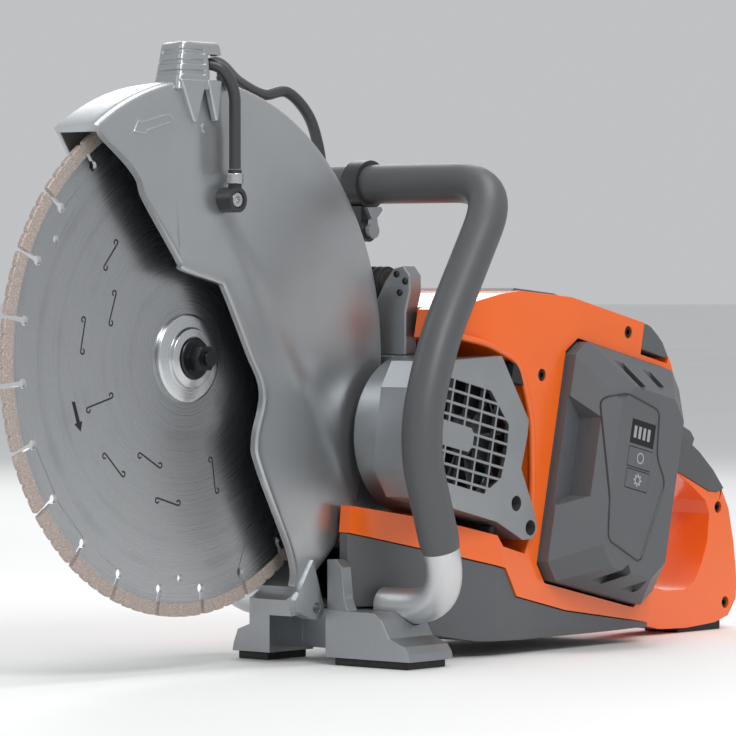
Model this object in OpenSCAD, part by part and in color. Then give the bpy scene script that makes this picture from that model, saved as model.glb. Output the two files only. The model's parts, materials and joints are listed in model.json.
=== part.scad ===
// Battery cut-off saw: a 350 mm segmented blade on a belt-driven arm, with an adjustable
// guard, a tubular front handle, a D-shaped rear handle and a slide-in battery.
// X runs rearward, Y to the machine's right and Z up. Lengths are in millimetres.
// Everything is laid out from the blade axis; the body is tilted nose-up about that axis.

/* [Blade] */
// Blade diameter over the segments
blade_d = 350; // [345:1:380]
// Height of the blade axis above the ground
axis_h = 214; // [212:1:260]
// Thickness of the steel core
core_t = 3; // [2:0.1:4]
// Width of the diamond segments
segment_t = 4.4; // [3.5:0.1:6]
// Radial height of a segment
segment_h = 9.5; // [7:0.5:14]
// Number of segments round the rim
segment_n = 24; // [18:1:28]
// Diameter of the flanges that clamp the blade
flange_d = 60; // [50:1:64]
// Arbor hole of the blade
arbor_d = 25.4; // [20:0.1:28]

/* [Guard] */
// Inner width of the guard
guard_gap = 33; // [28:1:36]
// Wall of the cast guard
guard_wall = 3.5; // [2.5:0.5:4]
// Clearance between the blade rim and the guard
guard_clear = 7.5; // [6:0.5:9]
// Hole in the guard's tail lug
lug_hole_d = 8; // [5:0.5:9]

/* [Drive] */
// Distance from the blade axis to the motor axis
drive_length = 208; // [207:1:216]
// Slope of the line from the blade axis down to the motor axis, degrees
drive_slope = 15.6; // [14:0.2:17]
// Diameter of the pulley on the spindle
spindle_pulley_d = 84; // [70:1:88]
// Diameter of the pulley on the motor
motor_pulley_d = 48; // [36:1:56]
// Width of the belt
belt_w = 12; // [8:1:12]
// Diameter of the spindle in its bearings
spindle_d = 20; // [17:1:22]
// Diameter of the motor shaft
shaft_d = 15; // [12:1:17]
// Outer diameter of the motor housing
motor_d = 112; // [100:1:116]

/* [Body] */
// Nose-up tilt of the body, degrees
body_tilt = 12.5; // [11:0.5:14]
// Distance from the blade plane to the body's left face
body_left = 78; // [74:1:90]
// Distance from the blade plane to the body's right face
body_right = 55; // [50:1:66]
// Wall of the moulded covers
shell_wall = 3.5; // [2.5:0.5:4]

/* [Battery] */
// Length of the battery along the tilted body
battery_l = 129; // [120:1:130]
// Height of the battery
battery_h = 177; // [160:1:179]
// How far the battery cover stands out from the body
battery_proud = 36; // [25:1:44]
// Depth of the battery inside the body
battery_depth = 68; // [55:1:72]
// Gap between the battery and its bay
battery_gap = 1.2; // [0.8:0.1:2]

/* [Handles] */
// Diameter of the front handle tube
tube_d = 25; // [20:1:28]
// Wall of the grip sleeve on the tube
sleeve_t = 1.5; // [1:0.5:3]
// Width of the rear handle
rear_w = 38; // [32:1:44]
// Thickness of the rubber soles
sole_t = 5.5; // [4:0.5:8]

/* [Hoses] */
// Outer diameter of the water hoses
hose_d = 8; // [6:0.5:9]
// Diameter of the water plug on the tap
nipple_d = 10; // [8:0.5:12]

/* [Hidden] */
$fn = 64;
run_gap = 0.05;   // radial clearance of a running fit
part_gap = 0.4;   // gap between parts that move past each other
e = 0.01;

// Blade and guard radii
blade_r = blade_d / 2;
core_r = blade_r - segment_h;
guard_in = blade_r + guard_clear;
guard_r = guard_in + guard_wall;
guard_left = -(guard_gap / 2 + guard_wall);
guard_right = guard_gap / 2 + guard_wall;
tail_r = guard_r + 32;        // what the tail lug sweeps, with clearance
guard_lane = 26;              // half width kept free behind the guard
flange_r = flange_d / 2;
slot_w = 3.2;
slot_phase = 5.2;
hub_r = flange_r + 1;         // arm collar that the guard turns on
motor_x = drive_length * cos(drive_slope);
motor_z = -drive_length * sin(drive_slope);
motor_r = motor_d / 2;
// Planes across the machine, from left to right
arm_y0 = guard_right + 1.5;
arm_y1 = arm_y0 + 25;
belt_y0 = arm_y1 + 3;
belt_y1 = belt_y0 + belt_w;
cover_y1 = belt_y1 + 7;
motor_y0 = -66;
motor_y1 = -26;
grille_y = -(body_left + 7);
seam_y = -12;
handle_y = -28;
// Tilted layout: u runs rearward along the body, w runs up across it
battery_u = 312;
battery_w = -95.5;
bay_wall = 3;
frame_rear = 452;
ground = -axis_h;
mid_x = (598 * cos(body_tilt) - 60 * sin(body_tilt) - blade_r) / 2;
mid_y = -10;

// ---- helpers ----
module at_axis() translate([-mid_x, -mid_y, axis_h]) children();
module on_body() at_axis() rotate([0, body_tilt, 0]) children();
// Extrudes an X-Z outline from y0 to y1
module slab(y0, y1)
    translate([0, y1, 0]) rotate([90, 0, 0]) linear_extrude(y1 - y0) children();
// Turns a profile about an axis along Y, with the profile's height running left from y
module turned(y) translate([0, y, 0]) rotate([90, 0, 0]) rotate_extrude() children();
module rod_y(y0, y1, r, x = 0, z = 0) slab(y0, y1) translate([x, z]) circle(r);
module on_motor() translate([motor_x, 0, motor_z]) children();
module wedge(a0, a1, r)
    polygon(concat([[0, 0]], [for (a = [a0:15:a1 - 1]) r * [cos(a), sin(a)]], [r * [cos(a1), sin(a1)]]));

// ---- swept tubes ----
function unit(v) = v / norm(v);
function tangent(p, i) = unit(p[min(i + 1, len(p) - 1)] - p[max(i - 1, 0)]);
function any_side(t) = unit(cross(t, abs(t[2]) < 0.9 ? [0, 0, 1] : [1, 0, 0]));
function carried(p, i, n, k = 1) =
    k > i ? n : let(t = tangent(p, k)) carried(p, i, unit(n - (n * t) * t), k + 1);
function rings(p, r, sides) = [
    for (i = [0:len(p) - 1])
        let(t = tangent(p, i), n = carried(p, i, any_side(tangent(p, 0))), b = cross(t, n))
            for (s = [0:sides - 1]) p[i] + r * (cos(360 * s / sides) * n + sin(360 * s / sides) * b)];
module sweep(p, r, sides = 12) {
    count = len(p);
    polyhedron(rings(p, r, sides), concat(
        [[for (s = [0:sides - 1]) s]],
        [for (i = [0:count - 2]) for (s = [0:sides - 1]) let(s1 = (s + 1) % sides)
            [i * sides + s, (i + 1) * sides + s, (i + 1) * sides + s1, i * sides + s1]],
        [[for (s = [sides - 1:-1:0]) (count - 1) * sides + s]]));
}
// Catmull-Rom curve through the points
function spline(p, steps) = concat([for (i = [0:len(p) - 2]) for (j = [0:steps - 1])
    let(t = j / steps, a = p[max(i - 1, 0)], b = p[i], c = p[i + 1], d = p[min(i + 2, len(p) - 1)])
    0.5 * ((2 * b) + (c - a) * t + (2 * a - 5 * b + 4 * c - d) * t * t
        + (3 * b - a - 3 * c + d) * t * t * t)], [p[len(p) - 1]]);
// Straight runs joined by bends that start a set distance from each corner
function bent(p, cut, steps) = concat([p[0]], [for (i = [1:len(p) - 2])
    let(a = p[i] + cut[i - 1] * unit(p[i - 1] - p[i]), b = p[i] + cut[i - 1] * unit(p[i + 1] - p[i]))
    for (j = [0:steps]) let(t = j / steps) (1 - t) * (1 - t) * a + 2 * t * (1 - t) * p[i] + t * t * b],
    [p[len(p) - 1]]);

// Front handle: corners of the centreline and where each bend starts
foot_end = [150, 50.5, -173];
handle_corners = [
    [foot_end[0], -foot_end[1], foot_end[2]], [foot_end[0], -113, foot_end[2]], [112, -112, -58],
    [130, -112, 5], [212, -104, 121], [212, 84, 121], [130, 92, 5], [112, 92, -58],
    [foot_end[0], 93, foot_end[2]], foot_end];
handle_cuts = [42, 30, 34, 40, 40, 34, 30, 28];
handle_path = bent(handle_corners, handle_cuts, 6);
sleeve_corners = [
    [136.4, -112.6, -132], [112, -112, -58], [130, -112, 5], [212, -104, 121],
    [212, 84, 121], [130, 92, 5], [112, 92, -58], [136.4, 92.6, -132]];
sleeve_path = bent(sleeve_corners, [30, 34, 40, 40, 34, 30], 6);
// Water hoses
hose_y = guard_gap / 2 + guard_wall + 7;
left_hose = [
    [7, -10.3, 199], [7, -12, 199], [7, -13.7, 199], [13, -20, 196.5],
    [18.5, -hose_y + 3, 189], [21, -hose_y + 0.5, 178],
    [21, -hose_y, 165], [21, -hose_y, 128]];
right_hose = [
    [7, 0.3, 199], [7, 2, 199], [7, 3.7, 199], [11, 13, 198.5],
    [18, hose_y - 4, 191], [21, hose_y - 0.5, 179],
    [21, hose_y, 165], [21, hose_y, 128]];
tap = [208, 88];
tap_y = 22;
supply_route = [
    [13.5, -5, 199], [18, -5, 199.5], [28, -2, 201.5], [46, 6, 199], [78, 21, 190],
    [112, 29, 182.5], [138, 30, 185],
    [158, 28, 170], [167, 26, 148], [170, 24, 122], [172, tap_y + 0.5, 103], [177, tap_y, 91.5],
    [184, tap_y, tap[1]], [188.6, tap_y, tap[1]]];
motor_lead = [[236, 8, 62.8], [234, 8, 54], [229, 6, 49], [227, 6, 42.9]];
battery_lead = [[330, -30, 87.9], [330, -30, 94], [322, -30, 97], [312, -30, 90], [306, -30, 80],
    [300.5, -30, 78]];

// ---- outlines, in the tilted u-w plane ----
module band_outline() polygon([
    [153, -91.5], [277, -93.5], [293.5, -111], [353, -111.5], [frame_rear, -104],
    [frame_rear, 66], [436, 88], [422, 102], [404.5, 110], [309, 110], [251, 102], [226.6, 94],
    [190, 75], [190, 55], [225, 57], [262, 51.7], [271, 37], [284.4, 15], [295, -27], [300, -60],
    [296, -80], [270.6, -79], [262.6, -72.5], [213, -71], [151, -73]]);
module tray_outline() polygon([
    [153.5, -92], [277, -94], [293.5, -111.5], [353, -112], [frame_rear, -104.5],
    [frame_rear, -107.5], [405, -118.5], [306, -140.5], [264, -148.6], [222, -150.6], [215, -147],
    [197, -136], [164.5, -141.5]]);
module battery_outline(grow = 0)
    translate([battery_u - grow, battery_w - grow])
        chamfered(battery_l + 2 * grow, battery_h + 2 * grow, 12);
module chamfered(l, h, c) polygon([
    [c, 0], [l - c, 0], [l, c], [l, h - c], [l - c, h], [c, h], [0, h - c], [0, c]]);
// Plan of the body: full width at the battery, narrowing to the nose
module plan(inset = 0)
    translate([0, 0, -300]) linear_extrude(700) offset(delta = -inset) polygon([
        [110, -26], [152, -45], [215, -body_left + 8], [240, -body_left], [600, -body_left],
        [600, body_right], [240, body_right], [215, body_right - 6], [152, 45], [110, 26]]);
// Room that the guard and its tail need behind the blade
module guard_lane_cut() {
    rod_y(-guard_lane, guard_lane, guard_r + 6);
    slab(-guard_lane, guard_lane) intersection() {
        circle(tail_r);
        wedge(-80, -24, 400);
    }
}
// Half of the body, hollow to its outer wall, which also follows the narrowing nose
module body_shell(y0, y1, open_at_y1) difference() {
    intersection() {
        on_body() slab(y0, y1) band_outline();
        at_axis() plan();
    }
    intersection() {
        on_body() slab(open_at_y1 ? y0 + shell_wall : y0 - 1, open_at_y1 ? y1 + 1 : y1 - shell_wall)
            offset(delta = -shell_wall) band_outline();
        at_axis() plan(shell_wall);
    }
    at_axis() guard_lane_cut();
}

side_screws = [[287.5, 48.3], [380.5, 99.2]];
module ear_room() at_axis() translate([193.5, -37, -10]) cube([14, 42, 60]);

// ---- body ----
module base_tray() color("#55575a") difference() {
    intersection() {
        on_body() slab(-body_left, body_right) tray_outline();
        at_axis() plan(1.5);
    }
    intersection() {
        on_body() slab(-body_left, body_right) difference() {
            offset(delta = -shell_wall) tray_outline();
            translate([150, -110]) square([24, 60]);
        }
        at_axis() plan(1.5 + shell_wall);
    }
    at_axis() guard_lane_cut();
}
module frame_left() color("#f26a21") difference() {
    body_shell(-body_left, seam_y, true);
    on_body() slab(-body_left - 1, -body_left + shell_wall + 1) battery_outline(battery_gap);
    on_body() for (p = side_screws) rod_y(-body_left - 1, -body_left + 5, 4.5, p[0], p[1]);
    on_body() translate([398.4, -body_left - 1, 86.4]) cube([33.4, 16, 30]);
    ear_room();
}
// Closes the right side round the belt cover
module side_panel() difference() {
    intersection() {
        on_body() slab(body_right - shell_wall, body_right) polygon([
            [190, 56], [225, 58], [263, 52.7], [272, 38], [285.4, 15], [296, -27], [301, -60],
            [297, -81], [270.6, -80], [262.6, -73.5], [213, -72], [190, -72.5]]);
        at_axis() plan();
    }
    at_axis() slab(0, 2 * body_right) cover_outline(1);
}
module frame_right() color("#f26a21") difference() {
    union() {
        body_shell(seam_y + 0.05, body_right, false);
        side_panel();
    }
    ear_room();
    on_body() for (i = [0:5]) translate([340 + i * 14, body_right - 8, -40]) cube([6, 10, 70]);
    on_body() translate([228, 2, 50]) cube([16, 12, 14]);
}
module top_strip() color("#5b5d60") on_body()
    slab(-60, 40) polygon([
        [262, 104.4], [309, 110.2], [396, 110.2], [392, 113], [310, 113], [266, 107.2]]);
module battery_bay() color("#3b3c3e") on_body() difference() {
    slab(-body_left + shell_wall + 0.3, -body_left + battery_depth + 6) intersection() {
        battery_outline(battery_gap + bay_wall);
        offset(delta = -shell_wall - 0.3) band_outline();
    }
    slab(-body_left, -body_left + battery_depth + 3) battery_outline(battery_gap);
}
module bay_terminals() color("#b08a3c") on_body() for (i = [0:3])
    translate([battery_u + 34 + i * 18, -body_left + battery_depth - 4.5, battery_w + 70])
        cube([5, 7.5, 22]);
module controller() color("#8d9093") on_body() difference() {
    translate([236, -60, 63]) cube([64, 98, 27]);
    for (i = [0:6]) translate([241 + i * 8, -61, 80]) cube([4, 100, 11]);
}
module wiring() color("#222222") on_body() {
    for (i = [0:2]) translate([0, (i - 1) * 3.2, 0]) sweep(spline(motor_lead, 3), 1.4, 8);
    for (i = [0:1]) translate([0, i * 8, 0]) sweep(spline(battery_lead, 3), 2.5, 8);
}

// ---- feet ----
foot_x = [115, 162];
module front_foot() color("#b4b8bb") at_axis() difference() {
    // near shoe, its upright plate, the far shoe with the saddle under the tube, and the bar between
    union() {
        yz_block(foot_x[0], foot_x[1], [
            [-26, -176], [-70, -176], [-77, -181], [-84, -193], [-97, -198], [-101, -203],
            [-102, ground + sole_t], [-26, ground + sole_t]]);
        yz_block(117, 127, [
            [-26, -176.1], [-26, -141], [-34, -141], [-39, -146], [-41.5, -168], [-45, -176.1]]);
        yz_block(foot_x[0], foot_x[1], [
            [26, -176], [34, -181], [45, -189], [56, -193], [60, -203],
            [61, ground + sole_t], [26, ground + sole_t]]);
        yz_block(134, foot_x[1], [[51, -172], [62, -172], [62, -200], [51, -200]]);
        yz_block(150, foot_x[1], [[-26.1, -178], [26.1, -178], [26.1, -206], [-26.1, -206]]);
    }
    for (y = [[-115, -foot_end[1] + 0.1], [foot_end[1] - 0.1, 115]])
        rod_y(y[0], y[1], tube_d / 2 + run_gap, foot_end[0], foot_end[2]);
}
module yz_block(x0, x1, points)
    translate([x0, 0, 0]) rotate([90, 0, 90]) linear_extrude(x1 - x0) polygon(points);
module front_foot_pads() color("#1d1d1e") at_axis() for (y = [[-98, -32], [30, 58]])
    translate([foot_x[0] + 3, y[0], ground]) cube([foot_x[1] - foot_x[0] - 6, y[1] - y[0], sole_t]);
module rear_foot_pad() color("#1d1d1e") at_axis() difference() {
    translate([500, handle_y - rear_w / 2 + 3, ground]) cube([54, rear_w - 6, 12]);
    rotate([0, body_tilt, 0]) slab(handle_y - 30, handle_y + 30) handle_outline();
}

// ---- front handle ----
module handle_tube() color("#c9ccce") at_axis() sweep(handle_path, tube_d / 2, 16);
module handle_sleeve() color("#4b4c4e") at_axis() difference() {
    sweep(sleeve_path, tube_d / 2 + sleeve_t, 16);
    sweep(handle_path, tube_d / 2 + run_gap, 16);
}

// ---- rear handle ----
module handle_outline() difference() {
    polygon([
        [frame_rear + 0.1, -104], [frame_rear + 0.1, 62], [498, 46], [526, 36], [546, 26], [562, 15],
        [574, 2], [586, -22], [597, -51], [598, -64], [591, -78], [575, -86], [540, -96], [508, -102]]);
    loop_outline();
}
module loop_outline() polygon([
    [478, -72], [509, -72.5], [532, -68], [543, -59], [549, -45], [552, -27], [550, -6], [543, 3],
    [527, 9], [484, 22], [470, 18], [466, 0], [466, -50], [470, -66]]);
// Soft insert along the top of the grip
module insert_outline() polygon([
    [462, 70], [462, 45], [500, 18], [545, 10.5], [556, 12], [566, 18], [540, 42], [500, 60]]);
trigger_pivot = [482, 30];
lockout_pivot = [480, 45];
module trigger_outline(grow = 0) offset(delta = grow) polygon([
    [476, 33], [474, 24], [480, 10], [488, -2], [495, -5], [500, -2], [506, 8],
    [514, 14], [514, 25], [486, 36]]);
module lockout_outline(grow = 0) offset(delta = grow) polygon([
    [475, 50], [475, 42], [486, 39], [527, 37], [534, 41], [536, 49], [530, 53.5], [508, 58], [490, 54]]);
module handle_half(y0, y1) on_body() difference() {
    slab(y0, y1) difference() {
        handle_outline();
        offset(delta = 0.05) insert_outline();
    }
    slab(handle_y - 8.5, handle_y + 8.5) {
        // room for the trigger through its squeeze, its springs, and the switch ahead of it
        for (a = [0:2:12]) turn(trigger_pivot, a) trigger_outline(part_gap);
        for (p = [trigger_pivot, lockout_pivot]) translate(p) circle(4.2);
        translate([454.5, 6]) square([18, 34]);
    }
    rod_y(handle_y - 13, handle_y + 13, 2 + run_gap, trigger_pivot[0], trigger_pivot[1]);
    rod_y(handle_y - 30, handle_y - 14, 4.5, 560, 0.7);
    rod_y(handle_y - 30, handle_y - 14, 4.5, 471, -87.5);
    rod_y(handle_y - 30, handle_y - 14, 4.5, 585, -68.7);
}
module turn(p, a) translate(p) rotate(a) translate(-p) children();
module rear_handle_left() color("#f26a21") handle_half(handle_y - rear_w / 2, handle_y);
module rear_handle_right() color("#f26a21") handle_half(handle_y + 0.05, handle_y + rear_w / 2);
module handle_insert() color("#4f5153") on_body() difference() {
    slab(handle_y - rear_w / 2 - 1, handle_y + rear_w / 2 + 1) intersection() {
        insert_outline();
        offset(delta = 1) difference() {
            handle_outline();
            translate([400, -200]) square([frame_rear + 1.5 - 400, 400]);
        }
    }
    slab(handle_y - 8.5, handle_y + 8.5) {
        for (a = [0:-2:-8]) turn(lockout_pivot, a) lockout_outline(part_gap);
        for (a = [0:2:12]) turn(trigger_pivot, a) trigger_outline(part_gap);
        for (p = [trigger_pivot, lockout_pivot]) translate(p) circle(4.2);
        translate([454.5, 6]) square([18, 34]);
    }
    rod_y(handle_y - 12, handle_y + 12, 2 + run_gap, lockout_pivot[0], lockout_pivot[1]);
    rod_y(handle_y - 13, handle_y + 13, 2 + run_gap, trigger_pivot[0], trigger_pivot[1]);
}
module trigger() color("#2c2d2e") on_body() difference() {
    slab(handle_y - 7, handle_y + 7) trigger_outline();
    rod_y(handle_y - 8, handle_y + 8, 2 + run_gap, trigger_pivot[0], trigger_pivot[1]);
}
module lockout_lever() color("#4f5153") on_body() difference() {
    slab(handle_y - 6.5, handle_y + 6.5) lockout_outline();
    rod_y(handle_y - 8, handle_y + 8, 2 + run_gap, lockout_pivot[0], lockout_pivot[1]);
}
module handle_pins() color("#a5a8ab") on_body() {
    rod_y(handle_y - 12.5, handle_y + 12.5, 2, trigger_pivot[0], trigger_pivot[1]);
    rod_y(handle_y - 11.5, handle_y + 11.5, 2, lockout_pivot[0], lockout_pivot[1]);
}
module handle_springs() color("#a5a8ab") on_body()
    for (p = [[trigger_pivot, 7.6], [lockout_pivot, -7.6]]) difference() {
        rod_y(handle_y - 0.4 + p[1], handle_y + 0.4 + p[1], 3.6, p[0][0], p[0][1]);
        rod_y(handle_y - 20, handle_y + 20, 2 + run_gap, p[0][0], p[0][1]);
    }
module trigger_switch() color("#1f2022") on_body()
    translate([455, handle_y - 8, 7]) cube([17, 16, 32]);

// ---- motor and arm ----
module motor_housing() color("#8f9396") at_axis() difference() {
    union() {
        on_motor() rod_y(motor_y0, motor_y1, motor_r);
        difference() {
            on_motor() rod_y(motor_y1 - e, arm_y0 - 0.2, motor_r);
            guard_lane_cut();
        }
    }
    on_motor() rod_y(motor_y0 - 1, motor_y1 - 3, motor_r - 5);
    on_motor() rod_y(-80, 60, shaft_d / 2 + 1);
}
module stator() color("#6d4a2c") at_axis() on_motor() difference() {
    rod_y(motor_y0 + 6, motor_y1 - 6, motor_r - 5.2);
    rod_y(-80, 0, motor_r - 25);
}
module rotor() color("#777b7e") at_axis() on_motor() difference() {
    rod_y(motor_y0 + 7, motor_y1 - 7, motor_r - 26);
    rod_y(-80, 0, shaft_d / 2 + run_gap);
}
module motor_shaft() color("#b9bcbf") at_axis() on_motor() rod_y(-80, belt_y1 + 2, shaft_d / 2);
module cooling_fan() color("#202123") at_axis() on_motor() difference() {
    union() {
        rod_y(-78.5, -68, 15);
        rod_y(-70, -68, 44);
        for (i = [0:8]) rotate([0, i * 40, 0]) translate([12, -78.5, -1]) cube([32, 10.4, 2]);
    }
    rod_y(-90, 0, shaft_d / 2 + run_gap);
}
module grille_outline() polygon([
    [150, 30], [180, 37], [231.4, 50.6], [271, 12.3], [272, 1.7], [270, -23], [291.5, -50],
    [297.3, -61.5], [293.5, -69.2], [283, -72], [251, -64.6], [165, -63.5], [146, -45], [143, 10]]);
module grille_opening() polygon([
    [160, 12], [166, 24], [222, 26.3], [249.7, 4.6], [251.4, -13], [249, -33.6], [232.7, -48],
    [176, -47.3], [160, -36]]);
module fan_grille() color("#b4b8bb") on_body() {
    difference() {
        slab(grille_y, motor_y0 + 12) grille_outline();
        slab(grille_y + 3.5, motor_y0 + 13) offset(delta = -3) intersection() {
            grille_outline();
            translate([120, -66]) square([153, 130]);
        }
        slab(grille_y - 1, grille_y + 4) grille_opening();
        for (p = [[270, -48], [289.5, -62]]) rod_y(grille_y - 1, motor_y0 + 13, 5.5, p[0], p[1]);
        rotate([0, -body_tilt, 0]) on_motor() rod_y(motor_y0 - 0.2, 0, motor_r + 0.2);
    }
    slab(grille_y, grille_y + 3) intersection() {
        offset(delta = e) grille_opening();
        union() {
            for (i = [0:8]) translate([150, -44.5 + i * 8.6]) square([110, 1.8]);
            for (i = [0:5]) translate([166 + i * 17, -60]) square([1.8, 90]);
            polygon([[150, -23], [209, -22.6], [213, -18], [213, -9], [209, -5.5], [150, -5]]);
        }
    }
}
module drive_arm() color("#9b9fa2") at_axis() difference() {
    union() {
        slab(arm_y0, arm_y1) {
            circle(38);
            translate([motor_x, motor_z]) circle(42);
            rotate(-drive_slope) polygon([[5, 36.5], [drive_length, 40], [drive_length, -40], [5, -36.5]]);
        }
        rod_y(guard_right - guard_wall - 4, arm_y0 + 1, hub_r - run_gap);
    }
    rod_y(0, 80, spindle_d / 2 + 1);
    rod_y(arm_y0 + 2, arm_y1 + 1, 21);
    on_motor() rod_y(0, 80, shaft_d / 2 + 1);
    on_motor() rod_y(arm_y0 + 2, arm_y1 + 1, 17.5);
    rotate([0, drive_slope, 0]) for (s = [-1, 1])
        translate([44, arm_y0 + 6, s * 15 - 9]) cube([drive_length - 92, 30, 18]);
}
module bearings() color("#c4c7c9") at_axis() {
    for (y = [arm_y0 + 2.5, arm_y1 - 12]) {
        bearing(y, 21 - run_gap, spindle_d / 2 + run_gap);
        on_motor() bearing(y, 17.5 - run_gap, shaft_d / 2 + run_gap);
    }
}
module bearing(y, outer, bore) difference() {
    rod_y(y, y + 11, outer);
    rod_y(y - 1, y + 12, bore);
}
module belt_cover() color("#4b4d50") at_axis() difference() {
    slab(arm_y1 + 0.1, cover_y1) cover_outline(0);
    slab(arm_y1, cover_y1 - 3) cover_outline(-3);
    for (i = [0:4]) rotate([0, drive_slope, 0]) translate([60 + i * 18, cover_y1 - 4, -14])
        cube([7, 6, 28]);
}
module cover_outline(grow) rotate(-drive_slope) offset(delta = grow) {
    circle(54);
    translate([drive_length, 0]) circle(43);
    polygon([[6, 53.6], [drive_length + 6, 42.5], [drive_length + 6, -42.5], [6, -53.6]]);
}
// A belt side touches both pulleys where its tangent leaves them
module belt_outline(grow) {
    big = spindle_pulley_d / 2 + grow;
    small = motor_pulley_d / 2 + grow;
    tilt = asin((big - small) / drive_length);
    rotate(-drive_slope) {
        circle(big);
        translate([drive_length, 0]) circle(small);
        polygon([
            big * [sin(tilt), cos(tilt)], [drive_length, 0] + small * [sin(tilt), cos(tilt)],
            [drive_length, 0] + small * [sin(tilt), -cos(tilt)], big * [sin(tilt), -cos(tilt)]]);
    }
}
module drive_belt() color("#161617") at_axis() slab(belt_y0, belt_y1) difference() {
    belt_outline(4.3);
    belt_outline(0.3);
}
module ear_bracket() color("#b4b8bb") at_axis() difference() {
    yz_block(194, 207, [
        [4, -2], [4, 14], [0, 30], [-13, 52], [-21, 61], [-30, 63],
        [-36, 56], [-36, 44], [-32, 30], [-32, -2]]);
    on_motor() rod_y(-60, 60, motor_r + 0.05);
}
module rubber_dampers() color("#26272a") {
    at_axis() on_motor() translate([10, 0, -motor_z]) {
        rod_y(-4, 34, 10, 0, 50);
        for (i = [0:5]) rod_y(-2.5 + i * 6, 0.5 + i * 6, 12.5, 0, 50);
    }
    on_body() {
        slab(grille_y + 8, grille_y + 26) difference() {
            translate([256, 37]) square([19, 14]);
            offset(delta = 0.4) band_outline();
            offset(delta = 0.1) grille_outline();
        }
        rod_y(-body_left + 2, -54, 2.7, 258, -69.3);
        rod_y(-50, -30, 9, 275, -68);
    }
}
module case_screws() color("#2f3032") {
    on_body() {
        for (p = side_screws) rod_y(-body_left + 0.5, -body_left + 5, 4.2, p[0], p[1]);
        for (p = [[560, 0.7], [471, -87.5], [585, -68.7]])
            rod_y(handle_y - rear_w / 2 + 1.5, handle_y - 14, 4.2, p[0], p[1]);
    }
}

// ---- spindle and blade ----
module spindle() color("#b9bcbf") at_axis() difference() {
    rod_y(-core_t / 2 - 0.5, belt_y1 + 2, spindle_d / 2);
    rod_y(-10, 26, 5);
}
module driven_pulley() color("#85898c") at_axis() pulley(spindle_pulley_d / 2, spindle_d / 2);
module drive_pulley() color("#85898c") at_axis() on_motor() pulley(motor_pulley_d / 2, shaft_d / 2);
module pulley(r, bore) difference() {
    rod_y(belt_y0 - 1, belt_y1 + 1, r);
    for (i = [0:4]) turned(belt_y0 + 1.6 + i * 2.2) translate([r - 1.2, 0]) square([3, 1]);
    rod_y(belt_y0 - 2, belt_y1 + 2, bore + run_gap);
}
module inner_flange() difference() {
    union() {
        rod_y(core_t / 2, 9.5, flange_r);
        rod_y(-core_t / 2, core_t / 2 + e, arbor_d / 2 - run_gap);
    }
    rod_y(-5, 20, spindle_d / 2 + run_gap);
}
module outer_flange() turned(-core_t / 2) polygon([
    [5.2, 0.6], [13, 0.6], [13, 0], [flange_r, 0], [flange_r, 2.4], [flange_r - 2, 3.4],
    [21, 4], [20, 6.6], [14.5, 7.6], [14.5, 6.8], [5.2, 6.8]]);
module blade_flanges() color("#c4c7c9") at_axis() {
    inner_flange();
    outer_flange();
}
// Hexagon bolt, and the loose washer under its head
module spindle_bolt() color("#2a2b2d") at_axis() {
    turned(-core_t / 2 - 6.9) polygon([[5.2, 0], [14, 0], [14, 1.6], [13, 2.4], [5.2, 2.4]]);
    slab(-core_t / 2 - 19, -core_t / 2 - 9.3) circle(d = 18.5, $fn = 6);
    rod_y(-core_t / 2 - 9.4, 18, 4.9);
    rod_y(-core_t / 2 - 23, -core_t / 2 - 19 + e, 5);
}
module blade_core() color("#a7a9ab") at_axis() slab(-core_t / 2, core_t / 2) difference() {
    circle(core_r, $fn = 180);
    circle(arbor_d / 2);
    for (i = [0:segment_n - 1]) rotate(slot_phase + i * 360 / segment_n) {
        translate([core_r - 8.5, 0]) circle(3.25, $fn = 32);
        translate([core_r - 8.5, -slot_w / 2]) square([20, slot_w]);
    }
    for (i = [0:2]) rotate(147.5 + i * 120) translate([core_r - 16.8, 0]) circle(2.5, $fn = 32);
}
module blade_segments() color("#b8a79c") at_axis() slab(-segment_t / 2, segment_t / 2) difference() {
    circle(blade_r, $fn = 180);
    circle(core_r, $fn = 180);
    for (i = [0:segment_n - 1]) rotate(slot_phase + i * 360 / segment_n)
        translate([core_r - 8, -slot_w / 2]) square([40, slot_w]);
}

// ---- guard ----
module opening_side() polygon([
    [-150, 213], [-109, 155], [-70.6, 122], [-30, 66.3], [-26, 59.7], [8.6, 50.9], [15.6, 46.2],
    [39.8, 3.9], [54, -23.6], [45.8, -56.2], [50.9, -76.8], [84.9, -140], [88.5, -172], [94, -230],
    [300, -230], [300, 300], [-150, 300]]);
module guard_sector(r) intersection() {
    circle(r, $fn = 180);
    wedge(-62, 124.5, 300);
}
module guard_rim() color("#c3c6c8") at_axis() slab(guard_left, guard_right) difference() {
    guard_sector(guard_r);
    circle(guard_in, $fn = 180);
}
module guard_left_wall() color("#c3c6c8") at_axis()
    slab(guard_left, guard_left + guard_wall) intersection() {
        circle(guard_in, $fn = 180);
        opening_side();
    }
// The inner wall carries the guard on the arm's collar
module guard_right_wall() color("#c3c6c8") at_axis()
    slab(guard_right - guard_wall, guard_right) difference() {
        union() {
            guard_sector(guard_in);
            circle(hub_r + 14);
        }
        circle(hub_r);
    }
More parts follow.
